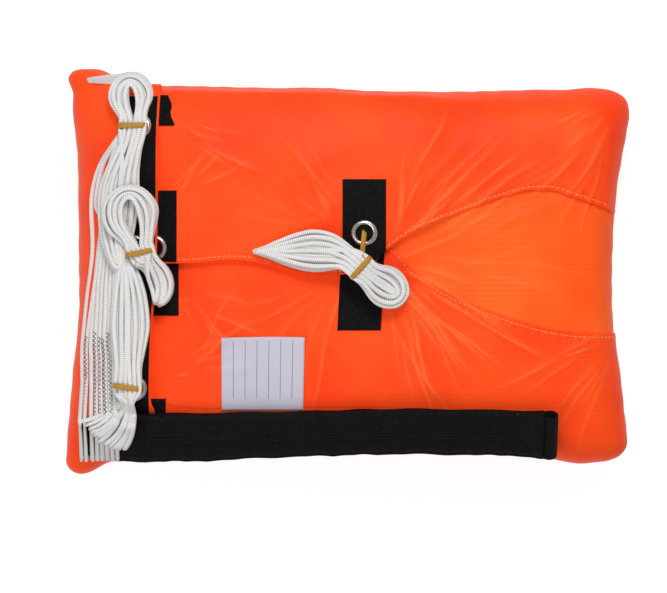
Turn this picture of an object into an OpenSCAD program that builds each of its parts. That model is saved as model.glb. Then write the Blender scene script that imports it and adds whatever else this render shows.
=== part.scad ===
// Packed emergency parachute in its deployment bag, lying on its back.
// Millimetres. +X to the right along the bridle, +Y to the top leaf, +Z up from the table.
// The origin is on the table, under the middle of the bag.

/* [Bag] */
// Half length of the packed bag, at its corners
bag_half_x = 170; // [162:1:180]
// Half width of the packed bag, at its corners
bag_half_y = 111; // [105:1:120]
// Height of the widest line, where the leaves are sewn to the back
rim_z = 38; // [30:1:45]
// Rise of the crown above the widest line
crown_h = 38; // [32:1:46]
// How far the short sides are drawn in between the corners
side_draw = 17; // [10:1:20]
// How far the top long side is drawn in between the corners
top_draw = 2; // [0:0.5:4]
// How far the bottom long side is drawn in between the corners
bottom_draw = 6; // [3:0.5:8]
// Thickness of the ripstop cloth, hems included
cloth_t = 0.6; // [0.4:0.1:0.8]

/* [Tapes] */
// Width of the reinforcing tape
tape_w = 25; // [20:1:28]
// Thickness of the reinforcing tape
tape_t = 0.8; // [0.6:0.1:1.2]
// Clear edge of the flap cloth beside the mouth tape
flap_edge = 1.6; // [1:0.2:3]

/* [Eyelets] */
// Clear hole of an eyelet
eyelet_hole_d = 9.6; // [8:0.2:10.6]
// Outer diameter of an eyelet's flange
eyelet_flange_d = 15.6; // [14:0.2:17]
// Thickness of an eyelet's flange
eyelet_flange_t = 0.8; // [0.6:0.1:1.2]
// Wall of an eyelet's barrel
eyelet_wall = 0.5; // [0.4:0.1:0.7]
// Thickness of the washer behind the cloth
washer_t = 0.6; // [0.5:0.1:0.8]

/* [Lines] */
// Diameter of a suspension line
line_d = 2.2; // [1.8:0.1:2.4]
// Step from one loop of a hank to the next, at its ends
loop_step = 3.3; // [3.2:0.1:3.4]
// Step from one loop of a hank to the next, where the rubber loop draws it in
waist_step = 3; // [2.9:0.1:3.1]
// Step from one layer of a hank to the next
layer_step = 3.1; // [3:0.1:3.4]
// Step from one tail to the next on the bridle
tail_step = 2.8; // [2.6:0.1:3.2]

/* [Rubber loops] */
// Width of a rubber loop
band_w = 3; // [2:0.2:4]
// Thickness of a rubber loop
band_t = 1; // [0.8:0.1:1.2]

/* [Bridle] */
// Width of the bridle's sleeve
sleeve_w = 31; // [29:1:34]
// Thickness of the sleeve's cloth
sleeve_t = 0.9; // [0.7:0.1:1.2]
// Width of the bridle's webbing
webbing_w = 26; // [22:1:27]
// Thickness of one layer of webbing
webbing_t = 1.5; // [1.2:0.1:1.8]
// Clear diameter of the webbing eye
eye_d = 6.4; // [5:0.2:7]

/* [Label] */
// Width of the label
label_w = 47.5; // [40:0.5:52]
// Height of the label
label_h = 42; // [36:0.5:43]
// Thickness of the label
label_t = 0.4; // [0.3:0.1:0.6]

/* [Handle loop] */
// Length of the handle loop along the bag
handle_len = 64; // [56:1:72]
// Clear height of the gap under the handle loop
handle_gap = 6.3; // [5.5:0.1:6.5]
// Thickness of the handle loop's webbing
handle_t = 1.4; // [1:0.1:1.8]
// Width of the handle loop's webbing
handle_w = 11; // [9:1:12]

/* [Canopy] */
// Layers of the folded canopy
canopy_layers = 5; // [3:2:7]
// Clear gap between two folds
canopy_gap = 1; // [0.8:0.1:1.6]

/* [Hidden] */
orange = [1, 0.3, 0.13];
black = [0.07, 0.07, 0.08];
nickel = [0.75, 0.75, 0.76];
white = [0.92, 0.92, 0.93];
ochre = [0.7, 0.52, 0.18];

// Shape of the packed bag: squareness of its outline, fullness of its top and of its underside.
outline_power = 12;
inner_power = 4;
draw_power = 6;
crown_power = 5;
crown_round = 0.42;
flat_share = 0.7;
belly_power = 2;
belly_round = 0.5;

// Clearances: between cloth layers, at the rim, and under a flat ring on rounded cloth.
layer_gap = 0.35;
seam_gap = 0.3;
strip_gap = 0.8;
ring_sag = 0.6;
band_gap = 0.85;
cord_gap = 0.4;
part_gap = 0.3;

// Layer heights above the packed canopy, from the right leaf up to the hanks.
rim_d = 0.3;
panel_out = rim_d + cloth_t;
right_d = rim_d;
lower_d = right_d + cloth_t + layer_gap;
lower_tape_d = lower_d + cloth_t + layer_gap;
lower_ring_d = lower_tape_d + tape_t + layer_gap;
upper_d = lower_ring_d + eyelet_flange_t + washer_t + ring_sag + 2 * layer_gap;
upper_tape_d = upper_d + cloth_t + layer_gap;
upper_ring_d = upper_tape_d + tape_t + layer_gap;
flap_high_d = upper_ring_d + eyelet_flange_t + washer_t + ring_sag + 2 * layer_gap;
flap_low_d = lower_d + cloth_t + layer_gap;
ramp_share = 0.1;

// Places of the flap's edge, the tapes and the eyelets on the bag.
flap_x = -bag_half_x + 61;
strip_right = flap_x - flap_edge;
strip_x = strip_right - tape_w / 2;
strip_top = bag_half_y - 8;
leaf_left = flap_x - 10.5;
fold_y = -bag_half_y + 31.5;
strip_low = fold_y - 0.5;
mouth_x = flap_x - 1;
strip_ring_ys = [bag_half_y - 26, 15.5, -bag_half_y + 46];
flap_ramp = eyelet_flange_d / 2 + 22;
centre_ring = [9, 24];
mouth_ring = [mouth_x, 15.5];
corner_patch_ys = [bag_half_y - 25, fold_y + 13];
leaf_rings = [centre_ring, mouth_ring];

// Free edges of the leaves: places as shares of the bag's half length and half width.
upper_edge = [[-1, 0.04], [-0.6, 0.085], [-0.5, 0.075], [-0.4, 0.074], [-0.3, 0.062], [-0.17, 0.015],
    [-0.06, 0], [0.03, 0.02], [0.1, 0.08], [0.14, 0.14], [0.24, 0.245], [0.34, 0.312], [0.44, 0.368],
    [0.58, 0.43], [0.68, 0.437], [0.78, 0.393], [0.97, 0.33], [1, 0.33]];
lower_edge = [[-1, 0.26], [-0.3, 0.26], [0, 0.33], [0.12, 0.32], [0.17, 0.12], [0.21, 0.03], [0.31, -0.075],
    [0.4, -0.148], [0.5, -0.207], [0.59, -0.252], [0.69, -0.287], [0.78, -0.303], [0.9, -0.305], [1, -0.3]];
right_top = [[0, 0.12], [0.14, 0.2], [0.24, 0.3], [0.34, 0.365], [0.44, 0.42], [0.58, 0.485], [0.68, 0.49],
    [0.78, 0.45], [0.9, 0.375], [0.94, 0.33], [1, 0.31]];
right_low = [[0, 0.07], [0.14, 0.05], [0.21, -0.02], [0.31, -0.125], [0.4, -0.2], [0.5, -0.26],
    [0.59, -0.305], [0.69, -0.34], [0.78, -0.35], [0.88, -0.33], [0.94, -0.285], [1, -0.28]];

// Hanks: neck x, neck y and angle of the axis, then for each end its length, its axis angle,
// the radius of its outer loop and its rise over what lies under it. End A lies ahead of the neck.
loops = 3;
rings_per_loop = 24;
half_neck = (loops - 0.5) * waist_step + (line_d + cord_gap) / 2 + 0.2;
stow_d = cloth_t + tape_t + eyelet_flange_t + 3 * layer_gap + ring_sag + band_t + band_gap + line_d / 2;
top_hank = [[strip_x - 3.5, bag_half_y - 25, 90], [32, 93, 13, 0], [44, 84, 11.5, 0]];
mid_hank = [[strip_x + 2.5, 13, 100], [37, 96, 14, 7.5], [32, 118, 11, 0]];
bottom_hank = [[strip_x - 3.5, -66, 82], [50, 90, 12, 0], [37, 72, 14, 2]];
centre_hank = [[5.5, 3.5, -25], [32, -26, 12.5, 0], [61, -11, 12, 0]];

// Tails and loops of the lines on the bridle.
tail_count = 7;
tail_x = -bag_half_x + 17.6;
tail_top = 36;
bridle_left = -bag_half_x + 15;
bridle_hinge = -bag_half_x + 51.5;
bridle_y = -bag_half_y + 18;
sleeve_right = 105.5;
eye_centre = 116;
sleeve_h = 2 * sleeve_t + 2 * webbing_t + 3 * part_gap;
label_x = -0.291 * bag_half_x;
handle_u = 0.915;
label_low = fold_y + 1.2;

// Interpolates a list of [place, value] pairs smoothly.
function span(pts, u, i = 0) = (i >= len(pts) - 2 || u < pts[i + 1][0]) ? i : span(pts, u, i + 1);
function slope(pts, i) =
    let (a = max(i - 1, 0), b = min(i + 1, len(pts) - 1))
    (pts[b][1] - pts[a][1]) / (pts[b][0] - pts[a][0]);
function along(pts, u) =
    let (i = span(pts, u), w = pts[i + 1][0] - pts[i][0])
    let (t = min(max((u - pts[i][0]) / w, 0), 1))
    pts[i][1] * (1 + 2 * t) * pow(1 - t, 2) + slope(pts, i) * w * t * pow(1 - t, 2)
    + pts[i + 1][1] * t * t * (3 - 2 * t) + slope(pts, i + 1) * w * t * t * (t - 1);
function ease(t) = let (c = min(max(t, 0), 1)) c * c * (3 - 2 * c);
function mix(a, b, t) = a + (b - a) * t;
function unit(v) = v / norm(v);

// Outline and height of the bag, d outside the packed canopy.
function squareness(m) = mix(inner_power, outline_power, min(m * m, 1));
function power_norm(u, v, m) =
    let (n = squareness(m))
    pow(pow(abs(u), n) + pow(abs(v), n), 1 / n);
// The short sides are drawn in close to the rim, and hardly at all further in.
function drawn_in(xn, yn) = sign(xn) * side_draw * (1 - min(yn * yn, 1)) * pow(xn, draw_power);
function half_y(xn, yn, d) = bag_half_y + d - (yn > 0 ? top_draw : bottom_draw) * (1 - min(xn * xn, 1));
function crown(m) = pow(1 - pow(min(m, 1), crown_power), crown_round);
function belly(m) = m < flat_share ? 1
    : pow(1 - pow((min(m, 1) - flat_share) / (1 - flat_share), belly_power), belly_round);
function plan(u, v, d) =
    let (m = max(abs(u), abs(v)), s = m == 0 ? 1 : m / power_norm(u, v, m))
    [u * s * (bag_half_x + d) - drawn_in(u * s, v * s), v * s * half_y(u * s, v, d)];
function top_point(u, v, d) =
    let (p = plan(u, v, d))
    [p.x, p.y, rim_z + (crown_h + d) * crown(max(abs(u), abs(v)))];
function bottom_point(u, v, d) =
    let (p = plan(u, v, d), foot = rim_z - seam_gap)
    [p.x, p.y, foot - (foot + d - panel_out) * belly(max(abs(u), abs(v)))];
function undrawn(x, yn, d, xn, n) =
    n == 0 ? xn : undrawn(x, yn, d, (x + drawn_in(xn, yn)) / (bag_half_x + d), n - 1);
function settle(xn, yn, m, n) = n == 0 ? m : settle(xn, yn, power_norm(xn, yn, m), n - 1);
function reach(x, y, d) =
    let (xn = undrawn(x, y / bag_half_y, d, x / bag_half_x, 8), yn = y / half_y(x / bag_half_x, y, d))
    settle(xn, yn, max(abs(xn), abs(yn)), 4);
function top_z(x, y, d) = rim_z + (crown_h + d) * crown(min(reach(x, y, d), 0.97));

// Length of a step straight up for each step square to the cloth.
function steepness(x, y, d) =
    norm([top_z(x + 1, y, d) - top_z(x - 1, y, d), top_z(x, y + 1, d) - top_z(x, y - 1, d), 2]) / 2;

// Height of a leaf's cloth: its own layer, easing down to the seam at the rim.
function eased_d(layer, m, rim = rim_d) = rim + (layer - rim) * ease((1 - m) / ramp_share);
function leaf_d(layer, u, v, rim = rim_d) = eased_d(layer, max(abs(u), abs(v)), rim);
// The flap rises over the leaf's eyelets and lies low to their left and below the fold.
function flap_d(x, y) =
    flap_low_d + (flap_high_d - flap_low_d) * ease((x - strip_x + flap_ramp) / 20)
    * ease((y - fold_y + 6) / 13);

// A thin sheet between two grids of points.
module sheet(low, high) {
    nu = len(low);
    nv = len(low[0]);
    all_points = concat([for (row = low) for (p = row) p], [for (row = high) for (p = row) p]);
    over = nu * nv;
    function at(i, j) = i * nv + j;
    quads = concat(
        [for (i = [0:nu - 2]) for (j = [0:nv - 2])
            [at(i, j), at(i, j + 1), at(i + 1, j + 1), at(i + 1, j)]],
        [for (i = [0:nu - 2]) for (j = [0:nv - 2])
            [over + at(i, j), over + at(i + 1, j), over + at(i + 1, j + 1), over + at(i, j + 1)]],
        [for (i = [0:nu - 2]) [at(i, 0), at(i + 1, 0), over + at(i + 1, 0), over + at(i, 0)]],
        [for (i = [0:nu - 2])
            [at(i + 1, nv - 1), at(i, nv - 1), over + at(i, nv - 1), over + at(i + 1, nv - 1)]],
        [for (j = [0:nv - 2]) [at(0, j + 1), at(0, j), over + at(0, j), over + at(0, j + 1)]],
        [for (j = [0:nv - 2])
            [at(nu - 1, j), at(nu - 1, j + 1), over + at(nu - 1, j + 1), over + at(nu - 1, j)]]
    );
    polyhedron(all_points, [for (q = quads) for (t = [[q[0], q[2], q[1]], [q[0], q[3], q[2]]]) t]);
}

// A leaf over places us, from edge v0(u) to edge v1(u), at its own layer, and at height rim on the seam.
module leaf(us, v0, v1, steps, layer, rim = rim_d) {
    function place(u, s) = [u, mix(v0(u), v1(u), s)];
    function grid(extra) = [for (u = us) [for (s = steps)
        let (c = place(u, s))
        top_point(c[0], c[1], leaf_d(layer, c[0], c[1], rim) + extra)]];
    sheet(grid(0), grid(cloth_t));
}

// A tape patch lying on the bag between x0 and x1, y0 and y1, with its lower face at d(x, y).
module tape(x0, x1, y0, y1, nx, ny, d, thick) {
    function grid(extra) = [for (i = [0:nx]) [for (j = [0:ny])
        let (x = mix(x0, x1, i / nx), y = mix(y0, y1, j / ny))
        [x, y, top_z(x, y, d(x, y) + extra)]]];
    sheet(grid(0), grid(thick));
}

// Stands its children on the bag at c, upright to the cloth at height d.
module on_bag(c, d) {
    e = 4;
    z0 = top_z(c.x, c.y, d);
    gx = (top_z(c.x + e, c.y, d) - top_z(c.x - e, c.y, d)) / (2 * e);
    gy = (top_z(c.x, c.y + e, d) - top_z(c.x, c.y - e, d)) / (2 * e);
    n = unit([-gx, -gy, 1]);
    tx = unit([1, 0, gx]);
    ty = cross(n, tx);
    multmatrix([[tx.x, ty.x, n.x, c.x], [tx.y, ty.y, n.y, c.y], [tx.z, ty.z, n.z, z0], [0, 0, 0, 1]])
        children();
}

// Eyelet with a domed flange and a barrel; washer behind the cloth; hole for both.
module eyelet(depth) {
    r = eyelet_hole_d / 2;
    flange = eyelet_flange_d / 2;
    rotate_extrude($fn = 48)
        polygon([[r, -depth], [r + eyelet_wall, -depth], [r + eyelet_wall, 0], [flange - 0.2, 0],
            [flange, 0.25], [flange - 0.5, 0.6 * eyelet_flange_t], [flange - 1.4, eyelet_flange_t],
            [r + 0.7, eyelet_flange_t], [r, 0.6 * eyelet_flange_t]]);
}
module washer() {
    difference() {
        cylinder(h = washer_t, d = eyelet_flange_d - 1, $fn = 48);
        translate([0, 0, -1])
            cylinder(h = washer_t + 2, d = eyelet_hole_d + 2 * eyelet_wall + 0.3, $fn = 48);
    }
}
module eyelet_hole() {
    translate([0, 0, -9])
        cylinder(h = 18, d = eyelet_hole_d + 2 * eyelet_wall + 0.6, $fn = 48);
}

// A round tube along points, closed with flat ends.
module tube(pts, d, sides) {
    n = len(pts);
    function tangent(i) = unit(pts[min(i + 1, n - 1)] - pts[max(i - 1, 0)]);
    function ring(i) =
        let (t = tangent(i), s = unit(cross(t, [0, 0, 1])), w = cross(s, t))
        [for (k = [0:sides - 1]) pts[i] + d / 2 * (cos(360 * k / sides) * s + sin(360 * k / sides) * w)];
    walls = [for (i = [0:n - 2]) for (k = [0:sides - 1])
        let (a = i * sides + k, b = i * sides + (k + 1) % sides)
        for (f = [[a, b, b + sides], [a, b + sides, a + sides]]) f];
    first = [for (k = [1:sides - 2]) [0, k + 1, k]];
    base = (n - 1) * sides;
    last = [for (k = [1:sides - 2]) [base, base + k, base + k + 1]];
    polyhedron([for (i = [0:n - 1]) for (p = ring(i)) p], concat(walls, first, last));
}

// A hank: one line wound in to the middle, up a layer along a run, and out again.
// Each end is a run and a half circle round one centre, on its own bent axis.
turns = 2 * loops - 0.5;
run_share = 0.25;
climb = [loops - 0.5, loops - 0.28];
function loop_at(end, k, phase) =
    let (r = end[2] - k * loop_step, centre = end[0] - end[2])
    let (run = min(phase, 1 - phase) / run_share)
    let (turn = 180 * (phase - run_share) / (1 - 2 * run_share))
    run < 1 ? [centre * run, (phase < 0.5 ? 1 : -1) * mix(half_neck - k * waist_step, r, ease(run))]
        : [centre + r * sin(turn), r * cos(turn)];
function hank_point(h, t, over) =
    let (front = t - floor(t) < 0.5, way = front ? 1 : -1)
    let (end = front ? h[1] : h[2], k = min(t, turns - t))
    let (p = way * loop_at(end, k, 2 * (t - floor(t)) - (front ? 0 : 1)))
    let (share = abs(p[0]) / end[0], bend = (end[1] - h[0][2]) * share)
    let (chord = h[0][2] + bend, along_axis = chord + bend)
    let (x = h[0].x + p[0] * cos(chord) - p[1] * sin(along_axis))
    let (y = h[0].y + p[0] * sin(chord) + p[1] * cos(along_axis))
    let (layer = ease((t - climb[0]) / (climb[1] - climb[0])), d = over(x, y) + end[3] * ease(share * 1.4))
    [x, y, top_z(x, y, d) + layer * layer_step * steepness(x, y, d)];
function hank_points(h, over) =
    [for (i = [0:turns * rings_per_loop]) hank_point(h, i / rings_per_loop, over)];
function on_flap(x, y) = flap_high_d + stow_d;
function on_leaf(x, y) = upper_ring_d + eyelet_flange_t + layer_gap + band_t + band_gap + line_d / 2;

// Least gap between the stretches of a wound line, measured from points to stretches.
function point_to_run(p, a, b) =
    let (ab = b - a, t = min(max((p - a) * ab / (ab * ab), 0), 1))
    norm(p - a - t * ab);
function wound_gap(pts, skip) = min([for (i = [0:len(pts) - 1]) for (j = [i + skip:len(pts) - 2])
    point_to_run(pts[i], pts[j], pts[j + 1])]) - line_d;

// A rubber loop round a hank's neck, with a leg to the eyelet's hole.
module band(h, over, ring, leg_depth) {
    inside_h = (layer_step + line_d) / 2 + band_gap;
    neck = h[0];
    on_bag([neck.x, neck.y], over(neck.x, neck.y) + layer_step / 2) {
        rotate([90, 0, neck[2] + 90])
            linear_extrude(band_w, center = true)
                difference() {
                    stadium(half_neck, inside_h + band_t);
                    stadium(half_neck, inside_h);
                }
        leg = [ring.x - neck.x, ring.y - neck.y];
        rotate([0, 0, atan2(leg.y, leg.x)])
            translate([-band_w / 2, -band_w / 2, -inside_h - band_t])
                cube([norm(leg) + band_w / 2 + band_t, band_w, band_t]);
        translate([leg.x - band_t, leg.y - band_w / 2, -inside_h - band_t - leg_depth])
            cube([2 * band_t, band_w, leg_depth + band_t / 2]);
    }
}
module stadium(half, r) {
    square([2 * half, 2 * r], center = true);
    for (side = [-1, 1])
        translate([side * half, 0])
            circle(r, $fn = 32);
}

// The bridle lies in a plane that touches the bag's lower shoulder.
bridle_tilt = atan((top_z(0, bridle_y + 5, flap_low_d) - top_z(0, bridle_y - 5, flap_low_d)) / 10);
bridle_z = top_z(0, bridle_y, flap_low_d + cloth_t + line_d / 2 + 2 * part_gap);
module on_bridle() {
    translate([0, bridle_y, bridle_z])
        rotate([bridle_tilt, 0, 0])
            children();
}
web_low = sleeve_t + part_gap;
web_high = web_low + 2 * webbing_t + part_gap;
over_flap = cloth_t + strip_gap + tape_t + layer_gap + line_d / 2;
loop_r = (web_high - web_low) / 2 + part_gap + line_d;

us_all = [-1, -0.985, -0.965, -0.93, -0.87, -0.79, -0.7, -0.5, -0.25, 0, 0.25, 0.5, 0.7, 0.79, 0.87, 0.93,
    0.965, 0.985, 1];
function us_leaf(d) = concat([for (i = [0:2]) mix(leaf_left, flap_x + 3, i / 2) / (bag_half_x + d)],
    [-0.57, -0.48, -0.36, -0.24, -0.12, -0.04, 0.02, 0.08, 0.13, 0.18, 0.24, 0.3, 0.4, 0.5, 0.6, 0.7, 0.8,
    0.88, 0.94, 0.965, 0.985, 1]);
to_rim = [0, 0.12, 0.25, 0.4, 0.55, 0.7, 0.8, 0.88, 0.935, 0.965, 0.985, 1];

module back_panel() {
    function grid(d) = [for (u = us_all) [for (v = us_all) bottom_point(u, v, d)]];
    color(orange)
        sheet(grid(panel_out), grid(rim_d));
}

module lower_side_wall() {
    fold_v = fold_y / bag_half_y - 0.012;
    color(orange)
        leaf(concat([(flap_x + 2) / (bag_half_x + lower_d)], [for (u = us_all) if (u > -0.6) u]),
            function (u) -1, function (u) fold_v,
            [0, 0.06, 0.14, 0.25, 0.45, 0.7, 1], lower_d);
}

// Low on the right end, a strap whose two feet lie on the slope of the underside
// and whose middle stands off it.
module handle_loop() {
    foot_y = handle_len / 2;
    wall = bottom_point(handle_u, 0, panel_out);
    way = bottom_point(handle_u + 0.02, 0, panel_out) - bottom_point(handle_u - 0.02, 0, panel_out);
    foot = part_gap + side_draw * pow(foot_y / bag_half_y, 2) * 0.5;
    inner = [[foot, -foot_y], [foot, 8 - foot_y], [handle_gap, 16 - foot_y],
        [handle_gap, foot_y - 16], [foot, foot_y - 8], [foot, foot_y]];
    outer = [for (i = [len(inner) - 1:-1:0]) inner[i] + [handle_t, 0]];
    color(black)
        translate(wall)
            rotate([0, atan2(way.x, way.z), 0])
                translate([0, 0, -handle_w / 2])
                    linear_extrude(handle_w)
                        polygon(concat(inner, outer));
}

// One long band of cloth folded to and fro, narrower in each layer towards the crown.
module canopy() {
    low = cloth_t + 3 * part_gap;
    high = rim_z + crown_h * 0.92;
    fold_t = (high - low - (canopy_layers - 1) * canopy_gap) / canopy_layers;
    function level(k) = low + k * (fold_t + canopy_gap);
    function top_share(z) =
        pow(1 - pow(min(max((z - rim_z) / crown_h, 0), 1), 1 / crown_round), 1 / crown_power);
    function low_share(z) =
        flat_share + (1 - flat_share) * pow(1 - pow(min(max((rim_z - z) / rim_z, 0), 1), 1 / belly_round),
            1 / belly_power);
    function fold_half(k) = (bag_half_y - bottom_draw - 1)
        * min(top_share(level(k) + fold_t), low_share(max(level(k) - low, 0))) * 0.97;
    function side(k) = k % 2 == 0 ? 1 : -1;
    bend = fold_t + canopy_gap / 2;
    function turn_y(k) = side(k) * (min(fold_half(k), fold_half(k + 1)) - bend);
    function outer_turn(k) = [for (a = [-90:30:90])
        [turn_y(k) + side(k) * bend * cos(a), level(k + 1) - canopy_gap / 2 + bend * sin(a)]];
    function inner_turn(k) = [for (a = [-90:90:90])
        [turn_y(k) + side(k) * canopy_gap / 2 * cos(a), level(k + 1) - canopy_gap / 2 * (1 - sin(a))]];
    last = canopy_layers - 1;
    first_end = [-fold_half(0), level(0)];
    last_end = [side(last) * fold_half(last), level(last)];
    // One face of the folded band takes the outer turns on the right, the other those on the left.
    one_side = concat([first_end],
        [for (k = [0:last - 1]) for (p = (side(k) > 0 ? outer_turn(k) : inner_turn(k))) p],
        [last_end + (side(last) > 0 ? [0, 0] : [0, fold_t])]);
    other_side = concat([first_end + [0, fold_t]],
        [for (k = [0:last - 1]) for (p = (side(k) > 0 ? inner_turn(k) : outer_turn(k))) p],
        [last_end + (side(last) > 0 ? [0, fold_t] : [0, 0])]);
    outline = concat(one_side, [for (i = [len(other_side) - 1:-1:0]) other_side[i]]);
    n = len(outline);
    stations = [-0.97, -0.92, -0.84, -0.7, -0.5, -0.25, 0, 0.25, 0.5, 0.7, 0.84, 0.92, 0.97];
    function section(s) = [for (p = outline)
        [s * (bag_half_x - side_draw - 3),
            p.x * pow(1 - pow(abs(s), outline_power), 1 / outline_power),
            rim_z + (p.y - rim_z) * (p.y > rim_z ? crown(abs(s)) : belly(abs(s)))]];
    // A strip between the two faces closes each end.
    function cap(base, flip) = [for (i = [0:n / 2 - 2])
        let (a = base + i, b = base + i + 1, c = base + n - 2 - i, d = base + n - 1 - i)
        for (f = flip ? [[a, c, b], [a, d, c]] : [[a, b, c], [a, c, d]]) f];
    walls = [for (k = [0:len(stations) - 2]) for (i = [0:n - 1])
        let (a = k * n + i, b = k * n + (i + 1) % n)
        for (f = [[a, b, b + n], [a, b + n, a + n]]) f];
    color(white)
        polyhedron([for (s = stations) for (p = section(s)) p],
            concat([for (f = walls) [f[0], f[2], f[1]]], cap(0, false), cap((len(stations) - 1) * n, true)));
}

module right_leaf() {
    color(orange)
        leaf([0.14, 0.19, 0.24, 0.3, 0.36, 0.44, 0.54, 0.64, 0.74, 0.83, 0.89, 0.94, 0.965, 0.985, 1],
            function (u) along(right_low, u), function (u) along(right_top, u),
            [0, 0.15, 0.3, 0.5, 0.7, 0.85, 1], right_d);
}

module lower_leaf() {
    fold_v = fold_y / bag_half_y + 0.004;
    color(orange)
        difference() {
            leaf(us_leaf(lower_d), function (u) fold_v, function (u) along(lower_edge, u),
                [0, 0.1, 0.22, 0.36, 0.5, 0.64, 0.78, 0.9, 1], lower_d, lower_d);
            for (c = leaf_rings)
                on_bag(c, lower_d)
                    eyelet_hole();
        }
}
module lower_patch(x0, x1, y0, y1) {
    color(black)
        difference() {
            tape(x0, x1, y0, y1, 6, 8, function (x, y) lower_tape_d, tape_t);
            for (c = leaf_rings)
                if (c.x > x0 && c.x < x1 && c.y > y0 && c.y < y1)
                    on_bag(c, lower_d)
                        eyelet_hole();
        }
}
module lower_centre_patch() {
    lower_patch(centre_ring.x - tape_w / 2 - 3, centre_ring.x + tape_w / 2 - 3, -32, 35);
}
module lower_mouth_patch() {
    lower_patch(leaf_left + 1.5, flap_x + 12, -23, 26);
}
module lower_corner_patch() {
    lower_patch(leaf_left + 1.5, flap_x + 3.5, fold_y + 1.5, corner_patch_ys[1] + 9.5);
}
module lower_leaf_eyelets() {
    color(nickel)
        for (c = leaf_rings)
            on_bag(c, lower_d)
                translate([0, 0, lower_ring_d - lower_d])
                    eyelet(lower_ring_d - lower_d + part_gap + washer_t);
}
module lower_leaf_washers() {
    color(nickel)
        for (c = leaf_rings)
            on_bag(c, lower_d)
                translate([0, 0, -part_gap - washer_t])
                    washer();
}
module label() {
    color(white)
        tape(label_x - label_w / 2, label_x + label_w / 2, label_low, label_low + label_h, 6, 6,
            function (x, y) lower_tape_d, label_t);
}

module upper_leaf() {
    color(orange)
        difference() {
            leaf(us_leaf(upper_d), function (u) along(upper_edge, u), function (u) 1, to_rim, upper_d);
            for (c = leaf_rings)
                on_bag(c, upper_d)
                    eyelet_hole();
            // Near the seam the leaf stops short of the mouth flap.
            translate([leaf_left - 5, bag_half_y * 0.925, 0])
                cube([flap_x + 2 - leaf_left + 5, 40, 200]);
        }
}
module upper_patch(x0, x1, y0, y1) {
    color(black)
        difference() {
            tape(x0, x1, y0, y1, 6, 8, function (x, y) upper_tape_d, tape_t);
            for (c = leaf_rings)
                if (c.x > x0 && c.x < x1 && c.y > y0 && c.y < y1)
                    on_bag(c, upper_d)
                        eyelet_hole();
        }
}
module upper_centre_patch() {
    upper_patch(centre_ring.x - tape_w / 2, centre_ring.x + tape_w / 2, 11.5, 55);
}
module upper_mouth_patch() {
    upper_patch(leaf_left + 1.5, flap_x + 11, 7.5, 48);
}
module upper_corner_patch() {
    upper_patch(leaf_left + 1.5, flap_x + 8, corner_patch_ys[0] - 10, corner_patch_ys[0] + 10);
}
module upper_leaf_eyelets() {
    color(nickel)
        for (c = leaf_rings)
            on_bag(c, upper_d)
                translate([0, 0, upper_ring_d - upper_d])
                    eyelet(upper_ring_d - upper_d + ring_sag + washer_t);
}
module upper_leaf_washers() {
    color(nickel)
        for (c = leaf_rings)
            on_bag(c, upper_d)
                translate([0, 0, -ring_sag - washer_t])
                    washer();
}
module band_centre() {
    color(ochre)
        band(centre_hank, function (x, y) on_leaf(x, y), centre_ring, 2.5);
}
module hank_centre() {
    pts = hank_points(centre_hank, function (x, y) on_leaf(x, y));
    echo(hank_centre_gap = wound_gap(pts, 7));
    color(white)
        tube(pts, line_d, 6);
}

module mouth_flap() {
    // Its right edge stays at one x, whatever the height of the cloth there.
    function edge_u(v) = flap_x / (bag_half_x + eased_d(flap_d(flap_x, v * bag_half_y), abs(v)));
    function us(v) =
        concat([-1, -0.985, -0.965, -0.94, -0.91], [for (i = [0:9]) mix(-0.88, edge_u(v), i / 9)]);
    vs = [-1, -0.985, -0.965, -0.94, -0.9, -0.84, -0.78, -0.75, -0.725, -0.7, -0.675, -0.65, -0.62, -0.5,
        -0.35, -0.2, -0.05, 0.1, 0.25, 0.4, 0.55, 0.68, 0.78, 0.86, 0.91, 0.94, 0.965, 0.985, 1];
    // The height depends on the place, and the place a little on the height.
    function height(u, v, d, n) =
        let (p = plan(u, v, d))
        n == 0 ? d : height(u, v, leaf_d(flap_d(p.x, p.y), u, v), n - 1);
    function cloth(u, v, extra) = top_point(u, v, height(u, v, flap_low_d, 16) + extra);
    function grid(extra) = [for (i = [0:14]) [for (v = vs) cloth(us(v)[i], v, extra)]];
    color(orange)
        difference() {
            sheet(grid(0), grid(cloth_t));
            for (y = strip_ring_ys)
                on_bag([strip_x, y], flap_d(strip_x, y))
                    eyelet_hole();
        }
}
module mouth_strip() {
    color(black)
        difference() {
            tape(strip_right - tape_w, strip_right, strip_low, strip_top, 7, 36,
                function (x, y) eased_d(flap_d(x, y), reach(x, y, flap_d(x, y))) + cloth_t + strip_gap,
                tape_t);
            for (y = strip_ring_ys)
                on_bag([strip_x, y], flap_d(strip_x, y))
                    eyelet_hole();
        }
}
module strip_eyelets() {
    seat = cloth_t + tape_t + layer_gap + strip_gap + ring_sag;
    color(nickel)
        for (y = strip_ring_ys)
            on_bag([strip_x, y], flap_d(strip_x, y))
                translate([0, 0, seat])
                    eyelet(seat + ring_sag + washer_t);
}
module strip_washers() {
    color(nickel)
        for (y = strip_ring_ys)
            on_bag([strip_x, y], flap_d(strip_x, y))
                translate([0, 0, -ring_sag - washer_t])
                    washer();
}

module stow_band(h, ring_y) {
    color(ochre)
        band(h, function (x, y) on_flap(x, y), [strip_x, ring_y], 2.2);
}
module band_top() {
    stow_band(top_hank, strip_ring_ys[0]);
}
module band_mid() {
    stow_band(mid_hank, strip_ring_ys[1]);
}
module band_bottom() {
    stow_band(bottom_hank, strip_ring_ys[2]);
}

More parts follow.
